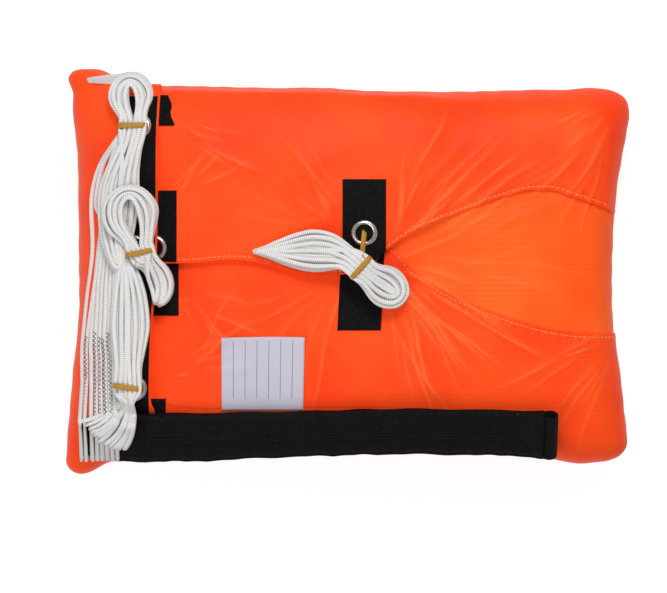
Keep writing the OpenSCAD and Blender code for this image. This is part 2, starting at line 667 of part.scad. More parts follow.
module stow_hank(h, name) {
    pts = hank_points(h, function (x, y) on_flap(x, y));
    echo(str(name, "_gap"), wound_gap(pts, 7));
    color(white)
        tube(pts, line_d, 6);
}
module hank_top() {
    stow_hank(top_hank, "hank_top");
}
module hank_mid() {
    stow_hank(mid_hank, "hank_mid");
}
module hank_bottom() {
    stow_hank(bottom_hank, "hank_bottom");
}

// Strands side by side on the flap, each down to its own loop round the bridle.
module line_tails() {
    mid_z = (web_low + web_high) / 2;
    reach_y = webbing_w / 2 + loop_r + 2 * layer_gap;
    low_y = bridle_y + reach_y * cos(bridle_tilt) - mid_z * sin(bridle_tilt);
    low_z = bridle_z + reach_y * sin(bridle_tilt) + mid_z * cos(bridle_tilt);
    rings = 16;
    rise_rings = 6;
    function across(k, y) = tail_x + k * tail_step + 1.2 * ease((y - low_y) / (tail_top - low_y));
    color(white)
        for (k = [0:tail_count - 1])
            tube([for (i = [0:rings])
                let (y = mix(tail_top, low_y, i / rings), x = across(k, y),
                    lying_z = top_z(x, y, flap_d(x, y) + over_flap),
                    rise = ease((i - rings + rise_rings) / rise_rings))
                [x, y, mix(lying_z, max(lying_z, low_z), rise)]], line_d, 8);
}

module line_lead() {
    start = [strip_x - 8, bag_half_y - 9];
    color(white)
        for (k = [0:2])
            tube([for (i = [0:6])
                let (x = start.x - 3 * i, y = start.y - 3.4 * k + 0.1 * i * k)
                [x, y, top_z(x, y, flap_d(x, y) + over_flap)]], line_d, 8);
}

module bridle_root() {
    color(black)
        on_bridle()
            translate([bridle_left, -webbing_w / 2, web_low])
                cube([bridle_hinge - part_gap - bridle_left, webbing_w, web_high - web_low]);
}

module line_loops() {
    half = webbing_w / 2;
    color(white)
        on_bridle()
            for (k = [0:tail_count - 1])
                translate([tail_x + k * tail_step, 0, (web_low + web_high) / 2])
                    rotate([90, 0, 90])
                        linear_extrude(line_d, center = true)
                            difference() {
                                stadium(half, loop_r);
                                stadium(half, loop_r - line_d);
                            }
}

// Two layers of webbing sewn together, rolled to a round eye at the right end.
module bridle_webbing() {
    eye_r = eye_d / 2;
    eye_z = max((web_low + web_high) / 2, eye_r + webbing_t - part_gap);
    neck = 10;
    color(black)
        on_bridle()
            rotate([90, 0, 0])
                linear_extrude(webbing_w, center = true)
                    difference() {
                        union() {
                            translate([bridle_hinge + part_gap, web_low])
                                square([eye_centre - neck - bridle_hinge, web_high - web_low]);
                            translate([eye_centre, eye_z])
                                circle(eye_r + webbing_t, $fn = 48);
                            polygon([[eye_centre - neck, web_low], [eye_centre, eye_z - eye_r - webbing_t],
                                [eye_centre, eye_z + eye_r + webbing_t], [eye_centre - neck, web_high]]);
                        }
                        translate([eye_centre, eye_z])
                            circle(eye_r, $fn = 48);
                    }
}

module bridle_sleeve() {
    half = sleeve_w / 2;
    length = sleeve_right - bridle_hinge;
    color(black)
        on_bridle()
            translate([bridle_hinge + part_gap, 0, 0])
                rotate([90, 0, 90])
                    linear_extrude(length)
                        polygon([[half, 0], [half, sleeve_h], [half - sleeve_t, sleeve_h],
                            [half - sleeve_t, sleeve_t], [-half + sleeve_t, sleeve_t],
                            [-half + sleeve_t, sleeve_h - sleeve_t], [0, sleeve_h - sleeve_t],
                            [0, sleeve_h], [-half, sleeve_h], [-half, 0]]);
}

module sleeve_flap() {
    half = sleeve_w / 2;
    length = sleeve_right - bridle_hinge;
    color(black)
        on_bridle()
            translate([bridle_hinge + part_gap, -2, sleeve_h + part_gap])
                cube([length, half + 2, sleeve_t]);
}

back_panel();
lower_side_wall();
handle_loop();
canopy();
right_leaf();
lower_leaf();
lower_centre_patch();
lower_mouth_patch();
lower_corner_patch();
lower_leaf_eyelets();
lower_leaf_washers();
label();
upper_leaf();
upper_centre_patch();
upper_mouth_patch();
upper_corner_patch();
upper_leaf_eyelets();
upper_leaf_washers();
band_centre();
hank_centre();
mouth_flap();
mouth_strip();
strip_eyelets();
strip_washers();
band_top();
band_mid();
band_bottom();
hank_top();
hank_mid();
hank_bottom();
line_tails();
line_lead();
bridle_root();
line_loops();
bridle_webbing();
bridle_sleeve();
sleeve_flap();
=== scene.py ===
import math

import bpy
import numpy as np
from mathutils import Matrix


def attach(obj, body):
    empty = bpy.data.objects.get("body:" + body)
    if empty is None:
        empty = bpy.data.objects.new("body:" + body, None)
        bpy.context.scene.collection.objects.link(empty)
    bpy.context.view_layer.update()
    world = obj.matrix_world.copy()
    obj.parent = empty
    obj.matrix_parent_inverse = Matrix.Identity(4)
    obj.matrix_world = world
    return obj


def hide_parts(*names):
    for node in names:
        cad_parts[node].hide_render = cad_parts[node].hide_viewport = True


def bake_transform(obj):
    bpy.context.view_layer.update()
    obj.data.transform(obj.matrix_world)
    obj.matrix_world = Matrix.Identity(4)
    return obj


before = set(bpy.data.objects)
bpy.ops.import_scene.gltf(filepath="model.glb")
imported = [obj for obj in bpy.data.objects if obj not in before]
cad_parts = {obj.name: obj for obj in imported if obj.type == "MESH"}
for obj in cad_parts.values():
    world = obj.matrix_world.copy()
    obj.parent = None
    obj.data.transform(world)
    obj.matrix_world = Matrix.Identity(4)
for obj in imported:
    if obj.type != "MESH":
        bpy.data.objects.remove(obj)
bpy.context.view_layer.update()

# Back of the bag
# The bag is sewn from fluorescent orange ripstop nylon: thin coated cloth with a grid of thicker threads.
# Packed tight it is a rounded cushion. Its short sides draw in, and the cloth puckers along the seam.
MM = 0.001
HALF_X, HALF_Y = 170.0, 111.0
RIM_Z, CROWN_H = 38.0, 38.0
SIDE_DRAW, TOP_DRAW, BOTTOM_DRAW = 17.0, 2.0, 6.0
CLOTH_T, RIM_D, SEAM_GAP = 0.6, 0.3, 0.3
INNER_POWER, OUTLINE_POWER, DRAW_POWER = 4, 12, 6
CROWN_POWER, CROWN_ROUND, FLAT_SHARE, PUCKER_FROM = 5, 0.42, 0.7, 0.88


def ease(t):
    c = np.clip(t, 0, 1)
    return c * c * (3 - 2 * c)


def power_norm(u, v, m):
    n = INNER_POWER + (OUTLINE_POWER - INNER_POWER) * np.minimum(m * m, 1)
    return (np.abs(u) ** n + np.abs(v) ** n) ** (1 / n)


def drawn_in(xn, yn):
    return np.sign(xn) * SIDE_DRAW * (1 - np.minimum(yn * yn, 1)) * np.abs(xn) ** DRAW_POWER


def half_width(xn, y, d):
    return HALF_Y + d - np.where(y > 0, TOP_DRAW, BOTTOM_DRAW) * (1 - np.minimum(xn * xn, 1))


def crown(m):
    return (1 - np.minimum(m, 1) ** CROWN_POWER) ** CROWN_ROUND


def belly(m):
    past = np.clip((m - FLAT_SHARE) / (1 - FLAT_SHARE), 0, 1)
    return np.sqrt(1 - past * past)


def plan(u, v, d):
    """Place on the table of the cushion's point at shares u and v of its half sizes, d mm outside it."""
    m = np.maximum(np.abs(u), np.abs(v))
    s = np.where(m > 0, m / np.maximum(power_norm(u, v, m), 1e-9), 1)
    x = u * s * (HALF_X + d) - drawn_in(u * s, v * s)
    return x, v * s * half_width(u * s, v, d)


def rim_pucker(x, y):
    """Small waves that the sewing thread draws along the seam, mm outwards."""
    lead = np.abs(x) / HALF_X - np.abs(y) / HALF_Y
    along = np.where(lead > 0, y, x)
    waves = 0.14 * np.sin(along / 2.9 + 2 * np.sin(along / 13)) + 0.3 * np.sin(along / 17 + 1)
    return waves * ease(np.abs(lead) / 0.08)


def swell(x, y, share):
    """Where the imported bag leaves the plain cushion: the lines' tunnel stands out at the top left corner and
    a lobe at the bottom left, the left side is drawn in less than the right one, and the long sides dip."""
    ear = ease((-117 - x) / 44) * ease((y - 84) / 24) * share
    drawn = ease((-126 - x) / 30) * ease((y - 42) / 45) * share
    tip = ease((-150 - x) / 10) * ease((y - 97) / 7) * share
    lobe = ease((-136 - x) / 20) * ease((-y - 62) / 44) * share
    flare = ease((-130 - x) / 26) * share * (np.exp(-((y + 52) / 26) ** 2) + 0.8 * ease((-y - 94) / 12))
    side = ease((-130 - x) / 26) * np.exp(-((y - 4) / 46) ** 2) * share
    right_low = ease((x - 126) / 28) * ease((-y - 56) / 34) * share
    top_dip = ease((y - 80) / 25) * ease((x + 22) / 40) * ease((150 - x) / 26) * share
    low_dip = ease((-y - 80) / 25) * ease((x + 122) / 90) * ease((136 - x) / 40) * share
    return (x + 3.2 * drawn - 5 * tip - 2.6 * flare - 3.4 * side - 2.3 * right_low,
            y + 14 * ear - 9.5 * lobe - 2.4 * top_dip + 6.0 * low_dip)


def packed_plan(u, v, d):
    """The plan with its puckers and swell, and the share of the way from the middle to the rim."""
    m = np.maximum(np.abs(u), np.abs(v))
    pucker = ease((m - PUCKER_FROM) / (1 - PUCKER_FROM)) * rim_pucker(*plan(u, v, d))
    x, y = swell(*plan(u, v, d + pucker), ease((m - FLAT_SHARE) / (1 - FLAT_SHARE)))
    return x, y, m


def cushion_top(u, v, d):
    x, y, m = packed_plan(u, v, d)
    return np.stack([x, y, RIM_Z + (CROWN_H + d) * crown(m)], -1)


def cushion_bottom(u, v, d):
    x, y, m = packed_plan(u, v, d)
    foot = RIM_Z - SEAM_GAP
    return np.stack([x, y, foot - (foot + d - RIM_D - CLOTH_T) * belly(m)], -1)


def colour(code):
    """Linear RGBA of an sRGB hex value."""
    parts = [int(code[i:i + 2], 16) / 255 for i in (1, 3, 5)]
    return [p / 12.92 if p <= 0.04045 else ((p + 0.055) / 1.055) ** 2.4 for p in parts] + [1.0]


def add_node(tree, kind, settings=None, inputs=None, links=None):
    """Adds one shader node: its own settings, fixed values for its inputs, and links into its inputs."""
    made = tree.nodes.new("ShaderNode" + kind)
    for name, value in (settings or {}).items():
        setattr(made, name, value)
    for name, value in (inputs or {}).items():
        made.inputs[name].default_value = value
    for name, source in (links or {}).items():
        tree.links.new(source, made.inputs[name])
    return made


def new_material(name, roughness, specular=0.5, **shader_values):
    made = bpy.data.materials.new(name)
    made.use_nodes = True
    shader = made.node_tree.nodes["Principled BSDF"]
    shader.inputs["Roughness"].default_value = roughness
    shader.inputs["Specular IOR Level"].default_value = specular
    for key, value in shader_values.items():
        shader.inputs[key.replace("_", " ").title()].default_value = value
    return made, made.node_tree, shader


RIPSTOP_PITCH = 3.0
MIX_COLOURS = {"data_type": "RGBA"}
MIX_A, MIX_B, MIX_OUT = 6, 7, 2


def coated_ripstop(name, deep, plain, line, ruled_share=0.3):
    """Coated ripstop nylon: soft gloss, a faint glow of its own orange (partly its fluorescent dye, partly
    painted light that flattens the shading), a grid of thicker threads every 3 mm, drawn broader than real
    ones so that it shows, a colour that drifts at random, and a painted highlight in thin pale lines along the
    creases."""
    # Painted glow: the cloth emits a little of its own orange, partly standing for the fluorescent dye and
    # partly painted light that flattens the shading.
    made, tree, shader = new_material(name, 0.5, 0.11, emission_strength=0.15)
    shader.inputs["Emission Color"].default_value = colour(plain)
    place = add_node(tree, "UVMap")
    cells = add_node(tree, "VectorMath", {"operation": "MULTIPLY"},
                     {1: (1 / (RIPSTOP_PITCH * MM), 1 / (RIPSTOP_PITCH * MM), 0)}, {0: place.outputs["UV"]})
    parts = add_node(tree, "SeparateXYZ", links={0: cells.outputs[0]})
    lines = []
    for axis in (0, 1):
        saw = add_node(tree, "Math", {"operation": "PINGPONG"}, {1: 0.5}, {0: parts.outputs[axis]})
        lines.append(add_node(tree, "MapRange", {"interpolation_type": "SMOOTHSTEP"},
                              {"From Min": 0.17, "From Max": 0.0}, {"Value": saw.outputs[0]}))
    warp = add_node(tree, "Math", {"operation": "MULTIPLY"}, {1: 0.25}, {0: lines[0].outputs[0]})
    grid = add_node(tree, "Math", {"operation": "MAXIMUM"},
                    links={0: warp.outputs[0], 1: lines[1].outputs[0]})
    drift = add_node(tree, "TexNoise", inputs={"Scale": 17.0, "Detail": 3.0},
                     links={"Vector": place.outputs["UV"]})
    shade = add_node(tree, "MapRange", inputs={"From Min": 0.32, "From Max": 0.68},
                     links={"Value": drift.outputs[0]})
    base = add_node(tree, "Mix", MIX_COLOURS, {MIX_A: colour(deep), MIX_B: colour(plain)},
                    {0: shade.outputs[0]})
    patchy = add_node(tree, "TexNoise", inputs={"Scale": 40.0}, links={"Vector": place.outputs["UV"]})
    seen = add_node(tree, "MapRange", inputs={"From Min": 0.35, "From Max": 0.6, "To Max": ruled_share},
                    links={"Value": patchy.outputs[0]})
    faint = add_node(tree, "Math", {"operation": "MULTIPLY"}, links={0: grid.outputs[0], 1: seen.outputs[0]})
    ruled = add_node(tree, "Mix", MIX_COLOURS, {MIX_B: colour(line)},
                     {0: faint.outputs[0], MIX_A: base.outputs[MIX_OUT]})
    # Painted highlight: the crease attribute pales the colour in thin lines along the crease tops.
    crease_highlight_mask = add_node(tree, "Attribute", {"attribute_name": "crease"})
    highlighted = add_node(tree, "Mix", MIX_COLOURS, {MIX_B: colour("#FF8748")},
                     {0: crease_highlight_mask.outputs["Fac"], MIX_A: ruled.outputs[MIX_OUT]})
    tree.links.new(highlighted.outputs[MIX_OUT], shader.inputs["Base Color"])
    crinkle = add_node(tree, "TexNoise", inputs={"Scale": 130.0, "Detail": 4.0, "Roughness": 0.6},
                       links={"Vector": place.outputs["UV"]})
    raised = add_node(tree, "Math", {"operation": "MULTIPLY_ADD"}, {1: 0.1},
                      {0: grid.outputs[0], 2: crinkle.outputs[0]})
    bump = add_node(tree, "Bump", inputs={"Strength": 0.2, "Distance": 0.6 * MM},
                    links={"Height": raised.outputs[0]})
    tree.links.new(bump.outputs[0], shader.inputs["Normal"])
    return made


orange_ripstop = coated_ripstop("orange_ripstop", "#F63B13", "#FE511A", "#DC340C", 0.4)


def grain(points):
    """Places on the flat cloth in metres: the plan, unrolled down the bag's sides."""
    x, y, z = np.moveaxis(points, -1, 0)
    fall = np.maximum(RIM_Z + CROWN_H - z, 0)
    wx, wy = (np.abs(x) / HALF_X) ** 6, (np.abs(y) / HALF_Y) ** 6
    total = wx + wy + 1e-9
    return np.stack([x + np.sign(x) * fall * wx / total, y + np.sign(y) * fall * wy / total], -1) * MM


def add_mesh(name, points, faces, uv, material):
    """A mesh piece from points in mm, with one UV place a point or a corner."""
    mesh = bpy.data.meshes.new(name)
    mesh.from_pydata((np.asarray(points) * MM).tolist(), [], [tuple(f) for f in faces])
    layer = mesh.uv_layers.new(name="UVMap")
    corners = np.empty(len(mesh.loops), np.int32)
    mesh.loops.foreach_get("vertex_index", corners)
    uv = np.asarray(uv, np.float32)
    layer.data.foreach_set("uv", (uv[corners] if len(uv) == len(points) else uv).ravel())
    mesh.polygons.foreach_set("use_smooth", [True] * len(mesh.polygons))
    mesh.materials.append(material)
    mesh.update()
    made = bpy.data.objects.new(name, mesh)
    bpy.context.scene.collection.objects.link(made)
    return made


def grid_faces(rows, columns, first=0, flip=False, closed=False):
    i, j = np.meshgrid(np.arange(rows - 1), np.arange(columns - (0 if closed else 1)), indexing="ij")
    a = first + i * columns + j
    b = first + i * columns + (j + 1) % columns
    quads = np.stack([a, b, b + columns, a + columns], -1).reshape(-1, 4)
    return quads[:, ::-1] if flip else quads


def add_shell(name, outer, inner, material, uv=None):
    """Cloth with a thickness: two grids of points, joined round their edge."""
    rows, columns = outer.shape[:2]
    over = rows * columns
    index = np.arange(over).reshape(rows, columns)
    edge = np.concatenate([index[0, :-1], index[:-1, -1], index[-1, :0:-1], index[:0:-1, 0]])
    following = np.roll(edge, -1)
    rim = np.stack([edge, following, following + over, edge + over], -1)
    faces = np.concatenate([grid_faces(rows, columns, 0, True), grid_faces(rows, columns, over), rim])
    place = grain(outer) if uv is None else uv
    points = np.concatenate([outer.reshape(-1, 3), inner.reshape(-1, 3)])
    return add_mesh(name, points, faces, np.concatenate([place.reshape(-1, 2)] * 2), material)


def shares(low, high, count, crowd=0.5):
    """Places from low to high, crowded towards both ends."""
    t = np.linspace(0, 1, count)
    return low + (high - low) * ((1 - crowd) * t + crowd * (0.5 - 0.5 * np.cos(np.pi * t)))


def crease_set(seed, count, pulls, reach, width, height):
    """Sharp tension folds that run out from points where the cloth is pulled: rows of
    middle x, middle y, angle, half length, width and height."""
    rng = np.random.default_rng(seed)
    rows = []
    for _ in range(count):
        x, y, start, stop = pulls[rng.integers(len(pulls))]
        x, y = x + rng.uniform(-7, 7), y + rng.uniform(-7, 7)
        angle = math.radians(rng.uniform(start, stop))
        middle = rng.uniform(*reach)
        turn = angle + rng.normal(0, 0.06)
        rows.append((x + middle * math.cos(angle), y + middle * math.sin(angle), turn,
                     middle * rng.uniform(0.35, 0.8), rng.uniform(*width), rng.uniform(*height)))
    return rows


def crease_height(rows, x, y, line=None):
    """Height of the folds, steep on one side. With a line width, thin lines along their tops instead."""
    total = np.zeros_like(x)
    x, y = x + 1.1 * np.sin(y / 9 + x / 31), y + 1.1 * np.sin(x / 10 + y / 37)
    for cx, cy, angle, half, width, height in rows:
        along = (x - cx) * math.cos(angle) + (y - cy) * math.sin(angle)
        across = (y - cy) * math.cos(angle) - (x - cx) * math.sin(angle)
        taper = np.clip(1 - (along / half) ** 2, 0, 1) ** 1.5
        side = np.where(across > 0, width, 2.6 * width)
        fall = (across / line) ** 2 if line else (np.hypot(across, 0.4) - 0.4) / side
        total += height * taper * np.exp(-fall)
    return total


BACK_PULLS = [(0, 0, 0, 360), (-90, 40, 0, 360), (90, -40, 0, 360)]
back_folds = crease_set(3, 60, BACK_PULLS, (20, 90), (1.5, 4), (-0.2, 0.7))
back_u, back_v = np.meshgrid(shares(-1, 1, 150, 0.7), shares(-1, 1, 110, 0.7), indexing="ij")
back_outer = cushion_bottom(back_u, back_v, RIM_D + CLOTH_T)
back_inner = cushion_bottom(back_u, back_v, RIM_D)
back_lift = np.maximum(crease_height(back_folds, back_outer[..., 0], back_outer[..., 1]), 0)
back_lift *= ease((1 - np.maximum(np.abs(back_u), np.abs(back_v))) / 0.2)
for layer in (back_outer, back_inner):
    layer[..., 2] += back_lift
back_cloth = add_shell("back_cloth", back_inner, back_outer, orange_ripstop)
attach(back_cloth, "bag")
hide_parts("back_panel")

# Packed canopy
# The parachute's canopy is thin white cloth, folded to and fro in long pleats until it fills the bag.
# It shows only when the leaves are opened.
CANOPY_GAP, PLEAT_H = 3.0, 9.0
CANOPY_ROWS, CANOPY_SIDES, CAP_FROM = 97, 96, 0.94


def white_canopy_cloth():
    """Calendered white nylon: slightly glossy, with soft crumples whose hollows are painted greyer as shade.
    """
    made, tree, shader = new_material("white_canopy_nylon", 0.5, 0.4)
    place = add_node(tree, "UVMap")
    crumple = add_node(tree, "TexNoise", inputs={"Scale": 60.0, "Detail": 5.0},
                       links={"Vector": place.outputs["UV"]})
    # Painted shade: the same noise that raises the crumples paints their hollows greyer.
    tint = add_node(tree, "Mix", MIX_COLOURS, {MIX_A: colour("#D9D9DD"), MIX_B: colour("#F4F4F6")},
                    {0: crumple.outputs[0]})
    tree.links.new(tint.outputs[MIX_OUT], shader.inputs["Base Color"])
    bump = add_node(tree, "Bump", inputs={"Strength": 0.4, "Distance": 1.5 * MM},
                    links={"Height": crumple.outputs[0]})
    tree.links.new(bump.outputs[0], shader.inputs["Normal"])
    return made


canopy_turn = np.linspace(0, 2 * np.pi, CANOPY_SIDES + 1)[:-1]
ring_a, ring_t = np.meshgrid(np.linspace(-1, 1, CANOPY_ROWS), canopy_turn, indexing="ij")
level = np.where(ring_a < 0, RIM_Z * (1 + ring_a * 0.94), RIM_Z + (CROWN_H - 4) * ring_a)
share_up = (1 - np.clip((level - RIM_Z) / CROWN_H, 0, 1) ** (1 / CROWN_ROUND)) ** (1 / CROWN_POWER)
share_down = FLAT_SHARE + (1 - FLAT_SHARE) * np.sqrt(1 - np.clip((RIM_Z - level) / RIM_Z, 0, 1) ** 2)
share = np.where(level > RIM_Z, share_up, share_down) - 0.035
share *= 1 - 0.03 * np.abs(np.sin(np.pi * level / PLEAT_H)) ** 0.5
top_cap = ease((np.abs(ring_a) - CAP_FROM) / (1 - CAP_FROM))
share *= 1 - top_cap
square = np.maximum(np.abs(np.cos(canopy_turn)), np.abs(np.sin(canopy_turn)))
cu = share * np.cos(ring_t) / square
cv = share * np.sin(ring_t) / square
canopy_x, canopy_y = swell(*plan(cu, cv, -CANOPY_GAP), ease((share - 0.7) / 0.3))
level = level + np.where(ring_a > 0, 1, 0) * 0.8 * np.sin(canopy_y / 5 + np.sin(canopy_x / 40)) * top_cap
canopy_points = np.stack([canopy_x, canopy_y, level], -1)
canopy_folds = add_mesh("canopy_folds", canopy_points.reshape(-1, 3),
                        grid_faces(CANOPY_ROWS, CANOPY_SIDES, closed=True),
                        np.stack([ring_t * 0.1, level * MM], -1).reshape(-1, 2), white_canopy_cloth())
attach(canopy_folds, "bag")
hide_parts("canopy")

# Leaves of cloth
# Three leaves fold over the canopy: the right one lowest, then the lower, then the upper one.
# Their free edges are double hems with one row of stitching, and tension folds run out from the eyelets.
LAYER_GAP, TAPE_T, FLANGE_T, WASHER_T, RING_SAG = 0.35, 0.8, 0.8, 0.6, 0.6
RIGHT_D = RIM_D
LOWER_D = RIGHT_D + CLOTH_T + LAYER_GAP
LOWER_TAPE_D = LOWER_D + CLOTH_T + LAYER_GAP
LOWER_RING_D = LOWER_TAPE_D + TAPE_T + LAYER_GAP
UPPER_D = LOWER_RING_D + FLANGE_T + WASHER_T + RING_SAG + 2 * LAYER_GAP
UPPER_TAPE_D = UPPER_D + CLOTH_T + LAYER_GAP
UPPER_RING_D = UPPER_TAPE_D + TAPE_T + LAYER_GAP
FLAP_HIGH_D = UPPER_RING_D + FLANGE_T + WASHER_T + RING_SAG + 2 * LAYER_GAP
FLAP_LOW_D = LOWER_D + CLOTH_T + LAYER_GAP
RAMP_SHARE = 0.1
FLAP_X, FOLD_Y = -109.0, -79.5
LEAF_LEFT = FLAP_X - 10.5
STRIP_X = FLAP_X - 1.6 - 12.5
MOUTH_X = FLAP_X - 1
CENTRE_RING, MOUTH_RING = (9, 24), (MOUTH_X, 15.5)
STRIP_RING_YS = (HALF_Y - 26, 15.5, -HALF_Y + 46)
# The leaves' edges, as shares of the bag's half length and half width.
UPPER_EDGE = [(-1, 0.04), (-0.6, 0.055), (-0.5, 0.06), (-0.4, 0.074), (-0.33, 0.07), (-0.26, 0.05),
              (-0.17, 0.012), (-0.06, -0.004), (0.03, 0.02), (0.1, 0.08), (0.14, 0.14), (0.24, 0.245),
              (0.34, 0.312), (0.44, 0.368), (0.58, 0.43), (0.68, 0.437), (0.78, 0.393), (0.97, 0.32),
              (1, 0.315)]
LOWER_EDGE = [(-1, 0.26), (-0.3, 0.26), (0, 0.33), (0.12, 0.32), (0.17, 0.12), (0.21, 0.03), (0.31, -0.075),
              (0.4, -0.148), (0.5, -0.207), (0.59, -0.252), (0.69, -0.287), (0.78, -0.303), (0.9, -0.305),
              (1, -0.3)]
RIGHT_TOP = [(0, 0.14), (0.14, 0.22), (0.24, 0.32), (0.34, 0.385), (0.44, 0.44), (0.58, 0.505), (0.68, 0.51),
             (0.78, 0.47), (0.9, 0.42), (1, 0.39)]
RIGHT_LOW = [(0, 0.07), (0.14, 0.05), (0.21, -0.02), (0.31, -0.125), (0.4, -0.2), (0.5, -0.26),
             (0.59, -0.305), (0.69, -0.34), (0.78, -0.35), (0.9, -0.35), (1, -0.345)]


def along(pairs, u):
    """Smooth curve through (place, value) pairs."""
    at, value = np.array(pairs, float).T
    slope = np.empty_like(value)
    slope[1:-1] = (value[2:] - value[:-2]) / (at[2:] - at[:-2])
    slope[0] = (value[1] - value[0]) / (at[1] - at[0])
    slope[-1] = (value[-1] - value[-2]) / (at[-1] - at[-2])
    i = np.clip(np.searchsorted(at, u, side="right") - 1, 0, len(at) - 2)
    w = at[i + 1] - at[i]
    t = np.clip((u - at[i]) / w, 0, 1)
    return (value[i] * (1 + 2 * t) * (1 - t) ** 2 + slope[i] * w * t * (1 - t) ** 2
            + value[i + 1] * t * t * (3 - 2 * t) + slope[i + 1] * w * t * t * (t - 1))


def reach(x, y, d):
    """Share of the way from the cushion's middle to its rim."""
    yn = y / half_width(x / HALF_X, y, d)
    xn = x / HALF_X
    for _ in range(8):
        xn = (x + drawn_in(xn, y / HALF_Y)) / (HALF_X + d)
    m = np.maximum(np.abs(xn), np.abs(yn))
    for _ in range(4):
        m = power_norm(xn, yn, m)
    return m


def top_z(x, y, d):
    return RIM_Z + (CROWN_H + d) * crown(np.minimum(reach(x, y, d), 0.97))


def eased_d(layer, m, rim=RIM_D):
    return rim + (layer - rim) * ease((1 - m) / RAMP_SHARE)


PULL_CENTRE = (21, 6)
MOUTH_PULLS = [(-99, 40, 15, 80), (-99, -12, -80, 10), (-100, 84, -60, 0), (-100, -55, 0, 60)]
BROAD_PULLS = [(*PULL_CENTRE, -80, 80), (-99, 15, -70, 70)]
fine_folds = (
    crease_set(11, 30, [(*PULL_CENTRE, -84, -14)], (30, 76), (0.9, 1.9), (0.5, 1.6))
    + crease_set(12, 22, [(*PULL_CENTRE, 24, 84)], (26, 76), (0.9, 1.9), (0.3, 1.2))
    + crease_set(13, 7, [(*PULL_CENTRE, -14, 14)], (40, 90), (1.2, 2.4), (0.2, 0.5))
    + crease_set(14, 22, [(-4, -2, 188, 258), (-4, 22, 105, 170)], (12, 58), (0.9, 1.7), (0.2, 0.9))
    + crease_set(15, 34, MOUTH_PULLS, (8, 42), (0.8, 1.6), (0.2, 0.9))
    + crease_set(16, 22, [(154, -34, 205, 250), (152, 97, 195, 258)], (16, 60), (0.9, 1.7), (0.3, 1.2)))
top_folds = fine_folds + crease_set(17, 18, BROAD_PULLS, (40, 110), (3, 7), (0.7, 1.7))


def top_folds_at(x, y):
    """Height of the folds: flat under the eyelets, the label and the bridle."""
    calm = np.ones_like(x)
    for cx, cy in (CENTRE_RING, MOUTH_RING, *[(STRIP_X, cy) for cy in STRIP_RING_YS]):
        calm = calm * ease((np.hypot(x - cx, y - cy) - 8) / 9)
    calm = calm * (0.12 + 0.88 * ease((y - FOLD_Y - 2) / 14))
    calm = calm * (0.15 + 0.85 * ease((x - FLAP_X - 4) / 22))
    billow = 0.9 * np.sin(x / 23 + 1.3) * np.sin(y / 19 + 0.4) + 0.6 * np.sin(x / 11 + y / 17)
    return calm * (np.maximum(crease_height(top_folds, x, y), 0) + billow * 0.5)


HEM, STITCH_AT, LEAF_ROWS = 8.0, 2.1, 132
HEM_ROWS = np.array([0, 0.4, 0.9, 1.3, 1.7, 2.1, 2.5, 3.0, 3.8, 5.0, 6.4, 7.0, 7.6, 8.0, 8.4])
CREASE_LINE, CREASE_HIGHLIGHT = 0.8, 0.34


def leaf_cloth(name, us, free_edge, far_edge, layer, rim, hemmed=True, cloth=orange_ripstop):
    """A leaf between its free edge and its far edge, both functions of u. Returns it and its stitch line."""
    free, far = free_edge(us)[:, None], far_edge(us)[:, None]
    side = np.sign(np.mean(far - free))
    inside = free + side * (HEM_ROWS[None, :] if hemmed else np.zeros((1, 1))) / HALF_Y
    rest = shares(0, 1, LEAF_ROWS, 0.55)[1:]
    vs = np.concatenate([inside, inside[:, -1:] + (far - inside[:, -1:]) * rest[None, :]], 1)
    u = np.repeat(us[:, None], vs.shape[1], 1)
    m = np.maximum(np.abs(u), np.abs(vs))
    d = eased_d(layer, m, rim)
    outer, inner = cushion_top(u, vs, d + CLOTH_T), cushion_top(u, vs, d)
    lift = top_folds_at(outer[..., 0], outer[..., 1]) * ease((1 - m) / 0.14)
    if hemmed:
        edge_way = np.abs(vs - free) * HALF_Y
        seam_way = edge_way - STITCH_AT
        run = np.cumsum(np.hypot(*np.diff(outer[:, 0, :2], axis=0, prepend=outer[:1, 0, :2]).T))[:, None]
        pucker = 0.32 * np.sin(run / 1.05 + 1.5 * np.sin(run / 9)) * np.exp(-(seam_way / 5) ** 2)
        lift = lift + pucker * ease((1 - m) / 0.05)
        outer[..., 2] += 0.15 * (1 - ease((edge_way - HEM + 2) / 4)) - 0.3 * np.exp(-(seam_way / 0.5) ** 2)
    for layer_points in (outer, inner):
        layer_points[..., 2] += lift
    order = int(side)
    made = add_shell(name, outer[:, ::order], inner[:, ::order], cloth)
    # Painted highlight: thin pale lines along the crease tops, kept in the crease attribute that the ripstop
    # reads.
    crease_top_highlight = crease_height(fine_folds, outer[:, ::order, 0], outer[:, ::order, 1], line=CREASE_LINE)
    crease_top_highlight = np.tile(CREASE_HIGHLIGHT * np.clip(crease_top_highlight.reshape(-1), 0, 1), 2).astype(np.float32)
    made.data.attributes.new("crease", "FLOAT", "POINT").data.foreach_set("value", crease_top_highlight)
    return made, outer[:, int(np.argmin(np.abs(HEM_ROWS - STITCH_AT)))]


def even_steps(path, step):
    """The same path in steps of one length, in mm."""
    path = np.asarray(path, float)
    run = np.concatenate([[0], np.cumsum(np.linalg.norm(np.diff(path, axis=0), axis=1))])
    count = max(int(run[-1] / step), 2)
    at = np.linspace(0, run[-1], count + 1)
    return np.stack([np.interp(at, run, path[:, k]) for k in range(3)], -1)


